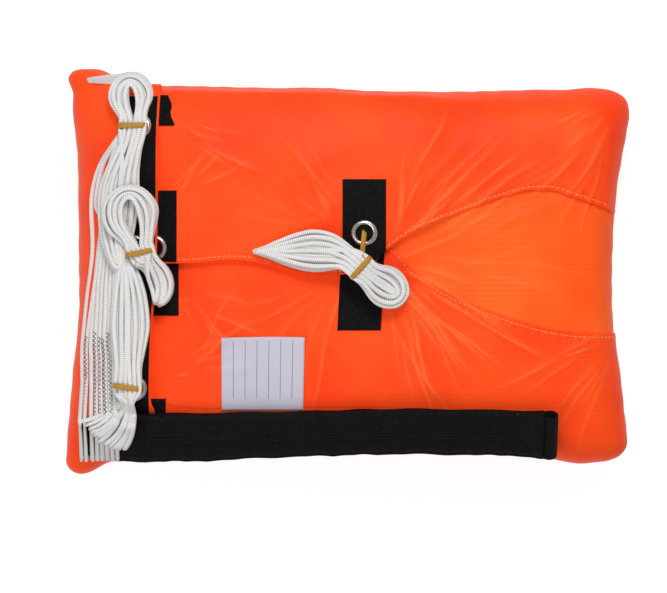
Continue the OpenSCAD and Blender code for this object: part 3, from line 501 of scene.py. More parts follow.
def sewing_thread(name, code):
    """Bonded polyester thread: matt, slightly twisted."""
    made, tree, shader = new_material(name, 0.6, 0.3)
    place = add_node(tree, "UVMap")
    twist = add_node(tree, "TexNoise", inputs={"Scale": 900.0}, links={"Vector": place.outputs["UV"]})
    shade = add_node(tree, "Mix", {"data_type": "RGBA", "blend_type": "MULTIPLY"},
                     {MIX_A: colour(code), MIX_B: (0.8, 0.8, 0.8, 1)}, {0: twist.outputs[0]})
    tree.links.new(shade.outputs[MIX_OUT], shader.inputs["Base Color"])
    return made


orange_thread = sewing_thread("orange_thread", "#FF9A55")


def add_stitches(name, line, material, pitch=3.0, length=2.5, radius=0.36, lift=0.12):
    """A row of lock stitches: short thread ends that dip into the cloth."""
    steps = even_steps(line, pitch)
    points, faces = [], []
    for a, b in zip(steps[:-1], steps[1:]):
        way = (b - a) / max(np.linalg.norm(b - a), 1e-9)
        side = np.cross(way, (0, 0, 1.0))
        side /= max(np.linalg.norm(side), 1e-9)
        up = np.cross(side, way)
        first = len(points)
        for share_along, dip, size in ((0, -0.35, 0.5), (0.25, 0, 1), (0.75, 0, 1), (1, -0.35, 0.5)):
            middle = a + way * length * share_along + up * (lift + dip)
            points += [middle + radius * size * (math.cos(t) * side + math.sin(t) * up)
                       for t in np.arange(6) * math.pi / 3]
        faces += grid_faces(4, 6, first, closed=True).tolist()
        faces += [list(range(first + 5, first - 1, -1)), list(range(first + 18, first + 24))]
    return add_mesh(name, points, faces, np.array(points)[:, :2] * MM, material)


# A lighter copy of the same ripstop for the right leaf: painted light, standing for the brighter look of one
# layer of cloth over the white canopy.
lit_single_layer_ripstop = coated_ripstop("orange_ripstop_lit_single_layer", "#FB5019", "#FF6522", "#E04812", 0.75)
right_us = shares(0.14, 1, 170, 0.5)
right_cloth, _ = leaf_cloth("right_leaf_cloth", right_us, lambda u: along(RIGHT_LOW, u),
                            lambda u: along(RIGHT_TOP, u), RIGHT_D, RIM_D, False, lit_single_layer_ripstop)
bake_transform(right_cloth)
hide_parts("right_leaf")


def leaf_run(left, d, count):
    """Shares of the bag's half length from a leaf's left end to the right rim, closer together near it."""
    return np.concatenate([np.linspace(left / (HALF_X + d), 0.9, count), shares(0.9, 1, 26, 0.5)[1:]])


def fold_line(u):
    return np.full_like(u, FOLD_Y / HALF_Y)


lower_us = leaf_run(LEAF_LEFT - 8, LOWER_D, 300)
lower_cloth, lower_seam = leaf_cloth("lower_leaf_cloth", lower_us, lambda u: along(LOWER_EDGE, u), fold_line,
                                     LOWER_D, LOWER_D)
LOWER_FOLD = {"start": (0, -0.0795, 0.074), "end": (0, -0.066, 0.076)}
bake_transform(lower_cloth)
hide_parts("lower_leaf")
lower_stitches = add_stitches("lower_leaf_stitches", lower_seam, orange_thread)
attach(lower_stitches, "lower_leaf")

side_us = leaf_run(FLAP_X - 10, LOWER_D, 150)
side_cloth, _ = leaf_cloth("lower_side_cloth", side_us, fold_line, lambda u: -np.ones_like(u), LOWER_D,
                           LOWER_D, False)
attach(side_cloth, "bag")
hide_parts("lower_side_wall")

upper_us = leaf_run(LEAF_LEFT - 8, UPPER_D, 300)
upper_layer = UPPER_D - 3.8 * ease((upper_us - 0.2) / 0.25)
upper_cloth, upper_seam = leaf_cloth("upper_leaf_cloth", upper_us, lambda u: along(UPPER_EDGE, u),
                                     np.ones_like, upper_layer[:, None], RIM_D)
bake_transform(upper_cloth)
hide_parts("upper_leaf")
upper_stitches = add_stitches("upper_leaf_stitches", upper_seam, orange_thread)
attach(upper_stitches, "upper_leaf")

# Mouth flap
# A flap of the same cloth closes the left end over the leaves. It is sewn to the bag at the left rim, and
# its free edge carries the black strip with the eyelets.
FLAP_RAMP = 29.8


def flap_d(x, y):
    """Height of the flap: up over the leaves' eyelets, low to the left of them and below the fold."""
    raised = ease((x - STRIP_X + FLAP_RAMP) / 20) * ease((y - FOLD_Y + 6) / 13)
    return FLAP_LOW_D + (FLAP_HIGH_D - FLAP_LOW_D) * raised


def flap_edge(y):
    """The flap's free edge, mm along the bag. It leans to the left towards its lower end."""
    return FLAP_X + 0.6 - 5.6 * np.clip((104 - y) / 184, 0, 1.15) + 0.7 * np.sin(y / 21 + 0.6)


flap_vs = shares(-1, 1, 190, 0.6)
flap_share = shares(0, 1, 80, 0.55)
edge_u = np.full_like(flap_vs, FLAP_X / HALF_X)
for _ in range(60):
    edge_d = eased_d(flap_d(*plan(edge_u, flap_vs, FLAP_LOW_D)), np.maximum(np.abs(edge_u), np.abs(flap_vs)))
    edge_x, edge_y, _ = np.moveaxis(cushion_top(edge_u, flap_vs, edge_d + CLOTH_T), -1, 0)
    edge_u = edge_u + 0.7 * (flap_edge(edge_y) - edge_x) / HALF_X
flap_u = -1 + (edge_u[None, :] + 1) * flap_share[:, None]
flap_v = np.repeat(flap_vs[None, :], len(flap_share), 0)
flap_m = np.maximum(np.abs(flap_u), np.abs(flap_v))
flap_height = np.full_like(flap_u, FLAP_LOW_D)
for _ in range(16):
    flap_height = eased_d(flap_d(*plan(flap_u, flap_v, flap_height)), flap_m)
flap_outer = cushion_top(flap_u, flap_v, flap_height + CLOTH_T)
flap_inner = cushion_top(flap_u, flap_v, flap_height)
FLAP_PULLS = [(-150, 95, -100, -20), (-158, -60, 20, 100), (-150, -95, 60, 130)]
flap_folds = crease_set(21, 40, FLAP_PULLS, (8, 60), (1.2, 2.8), (0.2, 0.9))
flap_lift = np.maximum(crease_height(flap_folds, flap_outer[..., 0], flap_outer[..., 1]), 0)
flap_lift *= ease((1 - flap_m) / 0.1) * ease((-136 - flap_outer[..., 0]) / 8)
for layer in (flap_outer, flap_inner):
    layer[..., 2] += flap_lift
flap_cloth = add_shell("mouth_flap_cloth", flap_outer[:, ::-1], flap_inner[:, ::-1], orange_ripstop)
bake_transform(flap_cloth)
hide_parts("mouth_flap")

# Black tapes
# Patches of black woven tape back the eyelets, and one long strip runs down the flap's free edge.
# The tape is 25 mm polyester, sewn down near its edges.
STRIP_GAP, STRIP_W, STRIP_EDGE = 0.8, 20.5, 1.0
TAPE_GROOVE, TAPE_GRID = 2.0, (0.9, 1.1)


def woven_black(name, code, light, rib, roughness, bump_height):
    """Black woven polyester: matt, with crosswise ribs drawn a little coarser than real ones so that they
    show, and a few pale specks of lint."""
    made, tree, shader = new_material(name, roughness, 0.12)
    place = add_node(tree, "UVMap")
    cells = add_node(tree, "VectorMath", {"operation": "MULTIPLY"},
                     {1: (1 / (rib * MM), 1 / (rib * MM), 0)}, {0: place.outputs["UV"]})
    parts = add_node(tree, "SeparateXYZ", links={0: cells.outputs[0]})
    waves = [add_node(tree, "Math", {"operation": "PINGPONG"}, {1: 0.5}, {0: parts.outputs[k]})
             for k in (0, 1)]
    weave = add_node(tree, "Math", {"operation": "ADD"},
                     links={0: waves[0].outputs[0], 1: waves[1].outputs[0]})
    wear = add_node(tree, "TexNoise", inputs={"Scale": 420.0, "Detail": 2.0},
                    links={"Vector": place.outputs["UV"]})
    worn = add_node(tree, "MapRange", inputs={"From Min": 0.45, "From Max": 0.8},
                    links={"Value": wear.outputs[0]})
    shade = add_node(tree, "Mix", MIX_COLOURS, {MIX_A: colour(code), MIX_B: colour(light)},
                     {0: worn.outputs[0]})
    fluff = add_node(tree, "TexNoise", inputs={"Scale": 610.0, "Detail": 1.0},
                     links={"Vector": place.outputs["UV"]})
    lint = add_node(tree, "MapRange", inputs={"From Min": 0.79, "From Max": 0.84, "To Max": 0.7},
                    links={"Value": fluff.outputs[0]})
    dusty = add_node(tree, "Mix", MIX_COLOURS, {MIX_B: colour("#9A9A9A")},
                     {0: lint.outputs[0], MIX_A: shade.outputs[MIX_OUT]})
    tree.links.new(dusty.outputs[MIX_OUT], shader.inputs["Base Color"])
    bump = add_node(tree, "Bump", inputs={"Strength": 0.5, "Distance": bump_height * MM},
                    links={"Height": weave.outputs[0]})
    tree.links.new(bump.outputs[0], shader.inputs["Normal"])
    return made


black_tape = woven_black("black_woven_tape", "#0A0A0B", "#191819", 1.1, 0.8, 0.25)


def no_lean(y):
    return 0 * y


def tape_patch(name, xs, ys, height, body, node, folds=1.0, lean=no_lean, across=None):
    """A tape lying on the cloth, its edges eased down and a sewn groove near them. The lower end is a
    number or a line over x, lean moves the tape sideways as y grows, and with a fold given as across the tape
    is baked in place instead of attached to its body; it does not bend over that fold."""
    low_end = ys[0] if callable(ys[0]) else lambda x: ys[0] + 0 * x
    tall = ys[1] - float(low_end(np.array(xs[0])))
    wide = xs[1] - xs[0]
    s, t = np.meshgrid(*(np.linspace(0, 1, int(size / cell)) for size, cell in zip((wide, tall), TAPE_GRID)),
                       indexing="ij")
    x = xs[0] + wide * s
    y = low_end(x) + (ys[1] - low_end(x)) * t
    edge = np.minimum(np.minimum(x - xs[0], xs[1] - x), np.minimum(y - low_end(x), ys[1] - y))
    x = x + lean(y)
    low = top_z(x, y, height(x, y)) + folds * top_folds_at(x, y)
    high = low + TAPE_T - 0.35 * (1 - ease(edge / 0.8)) - 0.25 * np.exp(-((edge - TAPE_GROOVE) / 0.5) ** 2)
    made = add_shell(name, np.stack([x, y, high], -1), np.stack([x, y, low], -1), black_tape)
    if across:
        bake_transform(made)
    else:
        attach(made, body)
    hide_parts(node)


def lower_tape_height(x, y):
    return np.full_like(x, LOWER_TAPE_D)


def upper_tape_height(x, y):
    return eased_d(UPPER_D, reach(x, y, UPPER_D)) + CLOTH_T + LAYER_GAP


def strip_height(x, y):
    d = flap_d(x, y)
    return eased_d(d, reach(x, y, d)) + CLOTH_T + STRIP_GAP


def upper_leaf_edge(x):
    return along(UPPER_EDGE, x / (HALF_X + UPPER_D)) * HALF_Y + 0.9


centre_x, leaf_x = CENTRE_RING[0], LEAF_LEFT + 1.5
corner_high, corner_low = HALF_Y - 7, HALF_Y - 25


def crooked(y):
    """The upper corner tape is cut and sewn a little crooked."""
    return -2.6 * (y - corner_low) / (corner_high - corner_low) + 0.7 * np.sin(y / 1.9)


tape_patch("lower_centre_tape", (centre_x - 15.5, centre_x + 9.5), (-32, 35), lower_tape_height,
           "lower_leaf", "lower_centre_patch", lean=lambda y: 0.05 * (y + 32))
tape_patch("lower_mouth_tape", (leaf_x, FLAP_X + 11), (-23.5, 26), lower_tape_height, "lower_leaf",
           "lower_mouth_patch")
tape_patch("lower_corner_tape", (leaf_x - 4, FLAP_X + 3.5), (FOLD_Y - 2.3, FOLD_Y + 8), lower_tape_height,
           "lower_leaf", "lower_corner_patch", across=LOWER_FOLD)
tape_patch("upper_centre_tape", (centre_x - 12.5, centre_x + 12.5), (upper_leaf_edge, 55), upper_tape_height,
           "upper_leaf", "upper_centre_patch")
tape_patch("upper_mouth_tape", (leaf_x, FLAP_X + 10), (7.5, 48.5), upper_tape_height, "upper_leaf",
           "upper_mouth_patch")
tape_patch("upper_corner_tape", (leaf_x, FLAP_X + 8), (corner_low, corner_high), upper_tape_height,
           "upper_leaf", "upper_corner_patch", lean=crooked)
tape_patch("mouth_strip_tape", (-STRIP_EDGE - STRIP_W, -STRIP_EDGE), (FOLD_Y - 0.5, HALF_Y - 8),
           strip_height, "mouth_flap", "mouth_strip", 0.0, flap_edge)

# Eyelets
# Nickel-plated brass eyelets with a rolled rim and a barrel, pressed through tape and cloth onto washers.
# Those of the leaves lie over each other, so that one rubber loop can come up through both.
EYELET_PROFILE = [(4.8, -3.6), (4.8, 0.5), (5.0, 1.05), (5.5, 1.5), (6.1, 1.62), (6.8, 1.4), (7.4, 0.9),
                  (7.75, 0.4), (7.8, 0.1), (7.6, 0.0), (5.3, 0.0), (5.3, -3.6)]
EYELET_SIDES = 48


def nickel_plate():
    """Nickel plating on pressed brass: bright, with fine handling scratches."""
    made, tree, shader = new_material("nickel_plated_brass", 0.2, metallic=1.0)
    place = add_node(tree, "TexCoord")
    wear = add_node(tree, "TexNoise", inputs={"Scale": 900.0, "Detail": 4.0},
                    links={"Vector": place.outputs["Object"]})
    rough = add_node(tree, "MapRange", inputs={"To Min": 0.14, "To Max": 0.34},
                     links={"Value": wear.outputs[0]})
    tree.links.new(rough.outputs[0], shader.inputs["Roughness"])
    tint = add_node(tree, "Mix", MIX_COLOURS,
                    {MIX_A: colour("#B9B5AE"), MIX_B: colour("#E2DFDA")}, {0: wear.outputs[0]})
    tree.links.new(tint.outputs[MIX_OUT], shader.inputs["Base Color"])
    return made


nickel = nickel_plate()


def bag_frame(x, y, d):
    """Origin and axes of a spot on the bag: along, across and square to the cloth."""
    e = 4.0
    spots = np.array([(0, 0), (e, 0), (-e, 0), (0, e), (0, -e)])
    centre, east, west, north, south = top_z(x + spots[:, 0], y + spots[:, 1], d)
    gx, gy = (east - west) / (2 * e), (north - south) / (2 * e)
    up = np.array([-gx, -gy, 1]) / math.sqrt(gx * gx + gy * gy + 1)
    right = np.array([1, 0, gx]) / math.hypot(1, gx)
    return np.array([x, y, centre]), right, np.cross(up, right), up


def add_eyelets(name, spots, body, node):
    """One piece for the eyelets of a leaf. A spot is x, y, cloth height and the flange's height over it."""
    points, faces = [], []
    steps = EYELET_SIDES
    for x, y, d, seat in spots:
        origin, right, back, up = bag_frame(x, y, d)
        first = len(points)
        for r, z in EYELET_PROFILE:
            for t in np.arange(steps) * 2 * math.pi / steps:
                points.append(origin + r * (math.cos(t) * right + math.sin(t) * back) + (z + seat) * up)
        faces += grid_faces(len(EYELET_PROFILE), steps, first, True, closed=True).tolist()
        last = first + (len(EYELET_PROFILE) - 1) * steps
        for k in range(steps):
            n = (k + 1) % steps
            faces.append([first + k, first + n, last + n, last + k])
    made = add_mesh(name, points, faces, np.array(points)[:, :2] * MM, nickel)
    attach(made, body)
    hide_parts(node)


leaf_seat = TAPE_T + CLOTH_T + 2 * LAYER_GAP
strip_seat = CLOTH_T + TAPE_T + LAYER_GAP + STRIP_GAP + RING_SAG
leaf_rings = (CENTRE_RING, (MOUTH_RING[0] - 2, MOUTH_RING[1]))
for leaf, d in (("lower", LOWER_D), ("upper", UPPER_D)):
    add_eyelets(leaf + "_eyelets", [(*spot, d, leaf_seat) for spot in leaf_rings], leaf + "_leaf",
                leaf + "_leaf_eyelets")
strip_spots = [(STRIP_X + aside, y, float(flap_d(STRIP_X, y)), strip_seat)
               for y, aside in zip(STRIP_RING_YS, (2.2, 0, 0))]
add_eyelets("flap_eyelets", strip_spots, "mouth_flap", "strip_eyelets")
for washers in ("lower_leaf_washers", "upper_leaf_washers", "strip_washers"):
    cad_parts[washers].data.materials.clear()
    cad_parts[washers].data.materials.append(nickel)

# Label
# A label of woven satin ribbon, cut with heat and printed with thin rules. It is sewn to the lower leaf by
# its bottom edge and loose at the others, so it can be turned up.
LABEL_W, LABEL_H, LABEL_T, LABEL_RULES = 47.5, 42.0, 0.4, 7
LABEL_X, LABEL_LOW, LABEL_Z = -0.291 * HALF_X, FOLD_Y + 1.2, 75.0


def satin_label():
    """White satin ribbon with a faint lilac cast, printed with thin grey rules every 6.8 mm."""
    made, tree, shader = new_material("white_satin_label", 0.5, 0.3)
    place = add_node(tree, "UVMap")
    parts = add_node(tree, "SeparateXYZ", links={0: place.outputs["UV"]})
    columns = add_node(tree, "Math", {"operation": "MULTIPLY"}, {1: LABEL_RULES}, {0: parts.outputs[0]})
    saw = add_node(tree, "Math", {"operation": "PINGPONG"}, {1: 0.5}, {0: columns.outputs[0]})
    printed = add_node(tree, "Math", {"operation": "LESS_THAN"}, {1: 0.03}, {0: saw.outputs[0]})
    for axis, side, limit in ((1, "GREATER_THAN", 0.16), (1, "LESS_THAN", 0.95),
                              (0, "GREATER_THAN", 0.08), (0, "LESS_THAN", 0.92)):
        inside = add_node(tree, "Math", {"operation": side}, {1: limit}, {0: parts.outputs[axis]})
        printed = add_node(tree, "Math", {"operation": "MULTIPLY"},
                           links={0: printed.outputs[0], 1: inside.outputs[0]})
    shade = add_node(tree, "Mix", MIX_COLOURS,
                     {MIX_A: colour("#C8C4D2"), MIX_B: colour("#85828F")}, {0: printed.outputs[0]})
    tree.links.new(shade.outputs[MIX_OUT], shader.inputs["Base Color"])
    threads = add_node(tree, "TexNoise", inputs={"Scale": 300.0}, links={"Vector": place.outputs["UV"]})
    bump = add_node(tree, "Bump", inputs={"Strength": 0.1, "Distance": 0.2 * MM},
                    links={"Height": threads.outputs[0]})
    tree.links.new(bump.outputs[0], shader.inputs["Normal"])
    return made


label_s, label_t = np.meshgrid(np.linspace(0, 1, 40), np.linspace(0, 1, 36), indexing="ij")
label_x = LABEL_X - LABEL_W / 2 + LABEL_W * label_s + 0.9 * label_s * (label_t - 0.5)
label_y = LABEL_LOW + LABEL_H * label_t + 0.6 * np.sin(2.5 * label_s) * label_t
label_low = top_z(label_x, label_y, LOWER_TAPE_D) + top_folds_at(label_x, label_y) + 0.1
label_low += label_t * (0.5 + 0.5 * np.sin(5 * label_s + 1))
label_low += 1.2 * ease((label_t - 0.7) / 0.3) * ease((label_s - 0.6) / 0.4)
label_piece = add_shell("sewn_label", np.stack([label_x, label_y, label_low + LABEL_T], -1),
                        np.stack([label_x, label_y, label_low], -1), satin_label(),
                        np.stack([label_s, label_t], -1))
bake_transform(label_piece)
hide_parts("label")

# Stowed lines
# The suspension lines are flat white polyester braid. They are laid to and fro in hanks, and each hank is
# held at its neck by a rubber loop from an eyelet, so that it pays out when the parachute is thrown.
LINE_W, LINE_T, LINE_ROUND = 2.8, 1.5, 2.2
PICK, STEP, EASING = 1.2, 0.75, 8


def flat_braid():
    """Flat polyester braid: white, with herringbone picks about 1.2 mm long and grey shade between them."""
    made, tree, shader = new_material("white_flat_braid", 0.62, 0.25)
    place = add_node(tree, "UVMap")
    parts = add_node(tree, "SeparateXYZ", links={0: place.outputs["UV"]})
    lengthwise = add_node(tree, "Math", {"operation": "MULTIPLY"}, {1: 1 / (PICK * MM)},
                          {0: parts.outputs[0]})
    around = add_node(tree, "Math", {"operation": "MULTIPLY"}, {1: 4.0}, {0: parts.outputs[1]})
    slant = add_node(tree, "Math", {"operation": "PINGPONG"}, {1: 1.0}, {0: around.outputs[0]})
    chevron = add_node(tree, "Math", {"operation": "MULTIPLY_ADD"}, {1: 0.8},
                       {0: slant.outputs[0], 2: lengthwise.outputs[0]})
    pick = add_node(tree, "Math", {"operation": "PINGPONG"}, {1: 0.5}, {0: chevron.outputs[0]})
    ridge = add_node(tree, "MapRange", {"interpolation_type": "SMOOTHSTEP"},
                     {"From Min": 0.0, "From Max": 0.3}, {"Value": pick.outputs[0]})
    seam = add_node(tree, "MapRange", inputs={"From Min": 0.0, "From Max": 0.16},
                    links={"Value": slant.outputs[0]})
    relief = add_node(tree, "Math", {"operation": "MULTIPLY"},
                      links={0: ridge.outputs[0], 1: seam.outputs[0]})
    shade = add_node(tree, "Mix", MIX_COLOURS,
                     {MIX_A: colour("#BEBCBA"), MIX_B: colour("#EDEBE9")}, {0: relief.outputs[0]})
    tree.links.new(shade.outputs[MIX_OUT], shader.inputs["Base Color"])
    bump = add_node(tree, "Bump", inputs={"Strength": 0.35, "Distance": 0.25 * MM},
                    links={"Height": relief.outputs[0]})
    tree.links.new(bump.outputs[0], shader.inputs["Normal"])
    return made


white_braid = flat_braid()


def smooth_path(points, step):
    """An even path through control points, rounded between them."""
    p = np.asarray(points, float)
    p = np.concatenate([[2 * p[0] - p[1]], p, [2 * p[-1] - p[-2]]])
    t = np.linspace(0, 1, 13)[:-1][:, None]
    fine = [b + 0.5 * ((c - a) * t + (2 * a - 5 * b + 4 * c - d) * t ** 2 + (3 * b - a - 3 * c + d) * t ** 3)
            for a, b, c, d in zip(p[:-3], p[1:-2], p[2:-1], p[3:])]
    return even_steps(np.concatenate(fine + [p[-2:-1]]), step)


def sweep(name, path, up, section, material, closed=False, sizes=1.0):
    """A section of (across, up) points carried along a path. up holds one direction a point."""
    n, sides = len(path), len(section)
    way = np.roll(path, -1, 0) - np.roll(path, 1, 0) if closed else np.gradient(path, axis=0)
    way /= np.maximum(np.linalg.norm(way, axis=1, keepdims=True), 1e-9)
    across = np.cross(way, up)
    across /= np.maximum(np.linalg.norm(across, axis=1, keepdims=True), 1e-9)
    lift = np.cross(across, way)
    a, b = np.array(section, float).T
    ring = a[None, :, None] * across[:, None] + b[None, :, None] * lift[:, None]
    points = path[:, None] + np.broadcast_to(sizes, n)[:, None, None] * ring
    following = np.roll(path, -1, 0)
    steps = np.linalg.norm(following - path, axis=1) * MM
    run = np.concatenate([[0], np.cumsum(steps)])
    rows = n if closed else n - 1
    i, k = np.meshgrid(np.arange(rows), np.arange(sides), indexing="ij")
    j, m = (i + 1) % n, (k + 1) % sides
    faces = np.stack([i * sides + k, i * sides + m, j * sides + m, j * sides + k], -1)
    faces = faces.reshape(-1, 4).tolist()
    start, end, low, high = run[i], run[i + 1], k / sides, (k + 1) / sides
    places = ((start, low), (start, high), (end, high), (end, low))
    corners = np.stack([np.stack(place, -1) for place in places], -2).reshape(-1, 2)
    if not closed:
        faces += [list(range(sides - 1, -1, -1)), list(range((n - 1) * sides, n * sides))]
        corners = np.concatenate([corners, np.zeros((2 * sides, 2))])
    return add_mesh(name, points.reshape(-1, 3), faces, corners, material)


def cloth_up(path):
    """Directions square to the bag under each point of a path, turned a little from place to place."""
    x, y = path[:, 0], path[:, 1]
    e = 3.0
    gx = (top_z(x + e, y, FLAP_LOW_D) - top_z(x - e, y, FLAP_LOW_D)) / (2 * e)
    gy = (top_z(x, y + e, FLAP_LOW_D) - top_z(x, y - e, FLAP_LOW_D)) / (2 * e)
    run = np.arange(len(path)) * STEP
    sway = 0.35 * np.sin(run / 17 + path[0, 0]) + 0.25 * np.sin(run / 41)
    up = np.stack([-0.6 * gx + sway, -0.6 * gy - sway, np.ones_like(x)], -1)
    return up / np.linalg.norm(up, axis=1, keepdims=True)


def braid_section():
    """A flat braid's outline: eight points on a rounded oblong."""
    turn = np.arange(8) * 2 * math.pi / 8
    c, s = np.cos(turn), np.sin(turn)
    across, up = np.sign(c) * np.abs(c) ** 0.8, np.sign(s) * np.abs(s) ** 0.7
    return np.stack([LINE_W / 2 * across, LINE_T / 2 * up], -1)


def eased(path, passes):
    """The same path with its sharpest turns rounded, each point drawn towards its neighbours."""
    path = path.copy()
    for _ in range(passes):
        path[1:-1] += 0.5 * ((path[:-2] + path[2:]) / 2 - path[1:-1])
    return even_steps(path, STEP)


def add_line(name, controls):
    """One braided line through control points, a cord of its own length. Returns it and its path."""
    path = eased(smooth_path(controls, STEP), EASING)
    picks = 1 + 0.035 * np.cos(np.pi * np.arange(len(path)))
    made = sweep(name, path, cloth_up(path), braid_section(), white_braid, sizes=picks)
    return made, path


COLUMNS, LAYERS, NECK_PITCH = 3, 4, 2.7
NECK_HALF = (COLUMNS - 0.5) * NECK_PITCH
NECK_REACH, NECK_LIFT = 3.5, 6.8
LAYER_RISE = LINE_T + 0.15
LEG_STOPS, ROLL_DROP = (0.16, 0.3, 0.45, 0.6, 0.74, 0.86, 0.94, 0.985), 3.6
LOOP_DEFAULTS = dict(peak=0.6, taper=0.5, nest=3.4, shrink=2.4, neck_lift=NECK_LIFT, stack=1.0, fan=(0, 0),
                     curl=0, reach=[(0, 1), (1, 1)], girth=[(0, 1), (1, 1)], rolled=False)


def loop_width(t, peak, taper):
    """Half width of a loop along its length, as a share: widens to its peak and closes at its tip."""
    past = np.clip((t - peak) / (1 - peak), 0, 1)
    return np.where(t < peak, 0.45 + 0.55 * ease(t / peak), (1 - past * past) ** taper)


def end_loop(end, k, w_out, w_in, rng):
    """One loop beyond the neck as (ahead, across, lift) points: out on one side, round its tip, back.
    A rolled loop comes back under itself instead of beside itself."""
    layer = k // COLUMNS
    inward = k % COLUMNS + 0.5 * (layer % 2)
    turn_share = k / (COLUMNS * LAYERS - 1)
    length = end["length"] * float(along(end["reach"], turn_share)) - inward * end["shrink"]
    length += rng.uniform(-0.7, 0.7)
    wide = end["belly"] * float(along(end["girth"], turn_share)) - inward * end["nest"]
    wide += rng.uniform(-0.3, 0.3)
    aside = (k % 5 - 2) / 2 * end["belly"] + rng.uniform(-0.3, 0.3)
    sway = rng.uniform(-0.8, 0.8)
    neck, tip = end["neck_lift"], end["tip_lift"]
    rise = (k / COLUMNS if end["curl"] else layer) * LAYER_RISE * end["stack"]
    legs = []
    for side, start in ((1, w_out), (-1, w_in)):
        leg = [(NECK_REACH, start, neck + layer * LAYER_RISE)]
        for t in LEG_STOPS:
            share = float(loop_width(t, end["peak"], end["taper"]))
            settled = float(ease(t / 0.4))
            goal = aside * share if end["rolled"] else side * wide * share
            w = start + (goal - start) * settled + sway * math.sin(math.pi * t)
            lift = neck + (tip - neck) * float(ease(t / 0.8)) + rise
            if end["rolled"] and side < 0:
                lift -= ROLL_DROP * settled
            leg.append((t * length, w, lift))
        legs.append(leg)
    out, back = legs
    turn = (length, (out[-1][1] + back[-1][1]) / 2, (out[-1][2] + back[-1][2]) / 2)
    return out + [turn] + back[::-1]


def hank_controls(hank):
    """One line laid to and fro: a loop ahead of the neck, back through it, a loop behind it, and so on."""
    rng = np.random.default_rng(hank["seed"])
    neck, count = hank["neck"], COLUMNS * LAYERS
    rows = []
    for k in range(count):
        w, w_next = (NECK_HALF - (n % COLUMNS) * NECK_PITCH for n in (k, k + 1))
        for side, back in (("ahead", w), ("behind", w_next)):
            end = LOOP_DEFAULTS | hank[side]
            spine = smooth_path([(0, 0, 0)] + [(*p, 0) for p in end["spine"]], 0.5)
            run = np.concatenate([[0], np.cumsum(np.linalg.norm(np.diff(spine, axis=0), axis=1))])
            heading = np.unwrap(np.arctan2(*np.gradient(spine[:, :2], axis=0).T[::-1]))
            end["length"] = run[-1]
            spread = math.radians(end["fan"][0] + (end["fan"][1] - end["fan"][0]) * k / (count - 1))
            for s, across, lift in end_loop(end, k, w, -back, rng):
                turn = (spread - math.radians(end["curl"]) * (s / run[-1]) ** 2) * float(ease(s / 14))
                x, y, way = (float(np.interp(s, run, v)) for v in (spine[:, 0], spine[:, 1], heading))
                x, y = x - across * math.sin(way), y + across * math.cos(way)
                c, q = math.cos(turn), math.sin(turn)
                x, y = neck[0] + x * c - y * q, neck[1] + x * q + y * c
                rows.append((x, y, hank["ground"](x, y, lift)))
    return rows


BRIDLE_Y, BRIDLE_Z, BRIDLE_TILT, BRIDLE_SHIFT = -93.0, 71.2661, math.radians(34.3249), 2.6
SLEEVE_W, LOOPS_H = 31.0, 4.6


def on_bridle(x, across, up):
    """A place on the bridle's plane, which touches the bag's lower shoulder. The bridle lies a little askew
    and bowed."""
    c, s = math.cos(BRIDLE_TILT), math.sin(BRIDLE_TILT)
    across = across + BRIDLE_SHIFT + 0.006 * x + 2.3 * np.exp(-((x - 30) / 62) ** 2)
    y, z = BRIDLE_Y + across * c - up * s, BRIDLE_Z + across * s + up * c
    return np.stack(np.broadcast_arrays(x, y, z), -1)


flap_surface = flap_outer.reshape(-1, 3)
SHOULDER_Y = 96


def over_flap(x, y, lift):
    """Height of a thing that lies on the flap, or on the cushion where the flap doesn't reach."""
    away = (flap_surface[:, 0] - x) ** 2 + (flap_surface[:, 1] - y) ** 2
    near = np.argpartition(away, 8)[:8]
    weight = 1 / (away[near] + 0.05) ** 2
    cloth = float((flap_surface[near, 2] * weight).sum() / weight.sum())
    cushion = float(top_z(np.array(x), np.array(y), flap_d(np.array(x), np.array(y))))
    on_cloth = float(ease((4 - math.sqrt(away[near].min())) / 3))
    return cushion + (cloth - CLOTH_T - cushion) * on_cloth + lift


def past_rim(x, y, lift):
    """On the flap, and above it where a loop stands out past the bag's rim by its own stiffness."""
    return over_flap(x, min(y, SHOULDER_Y), lift) - 0.3 * max(y - SHOULDER_Y, 0)


def over_bridle(x, y, lift):
    """On the flap, or on the loops round the bridle where these are higher."""
    up = LOOPS_H + lift
    across = (y - BRIDLE_Y + up * math.sin(BRIDLE_TILT)) / math.cos(BRIDLE_TILT)
    edge = SLEEVE_W / 2 + BRIDLE_SHIFT
    plane = BRIDLE_Z + min(across, edge) * math.sin(BRIDLE_TILT) + up * math.cos(BRIDLE_TILT)
    return max(over_flap(x, y, lift), plane - max(across - edge, 0))


def over_leaf(x, y, lift):
    return float(top_z(np.array(x), np.array(y), UPPER_D + lift))


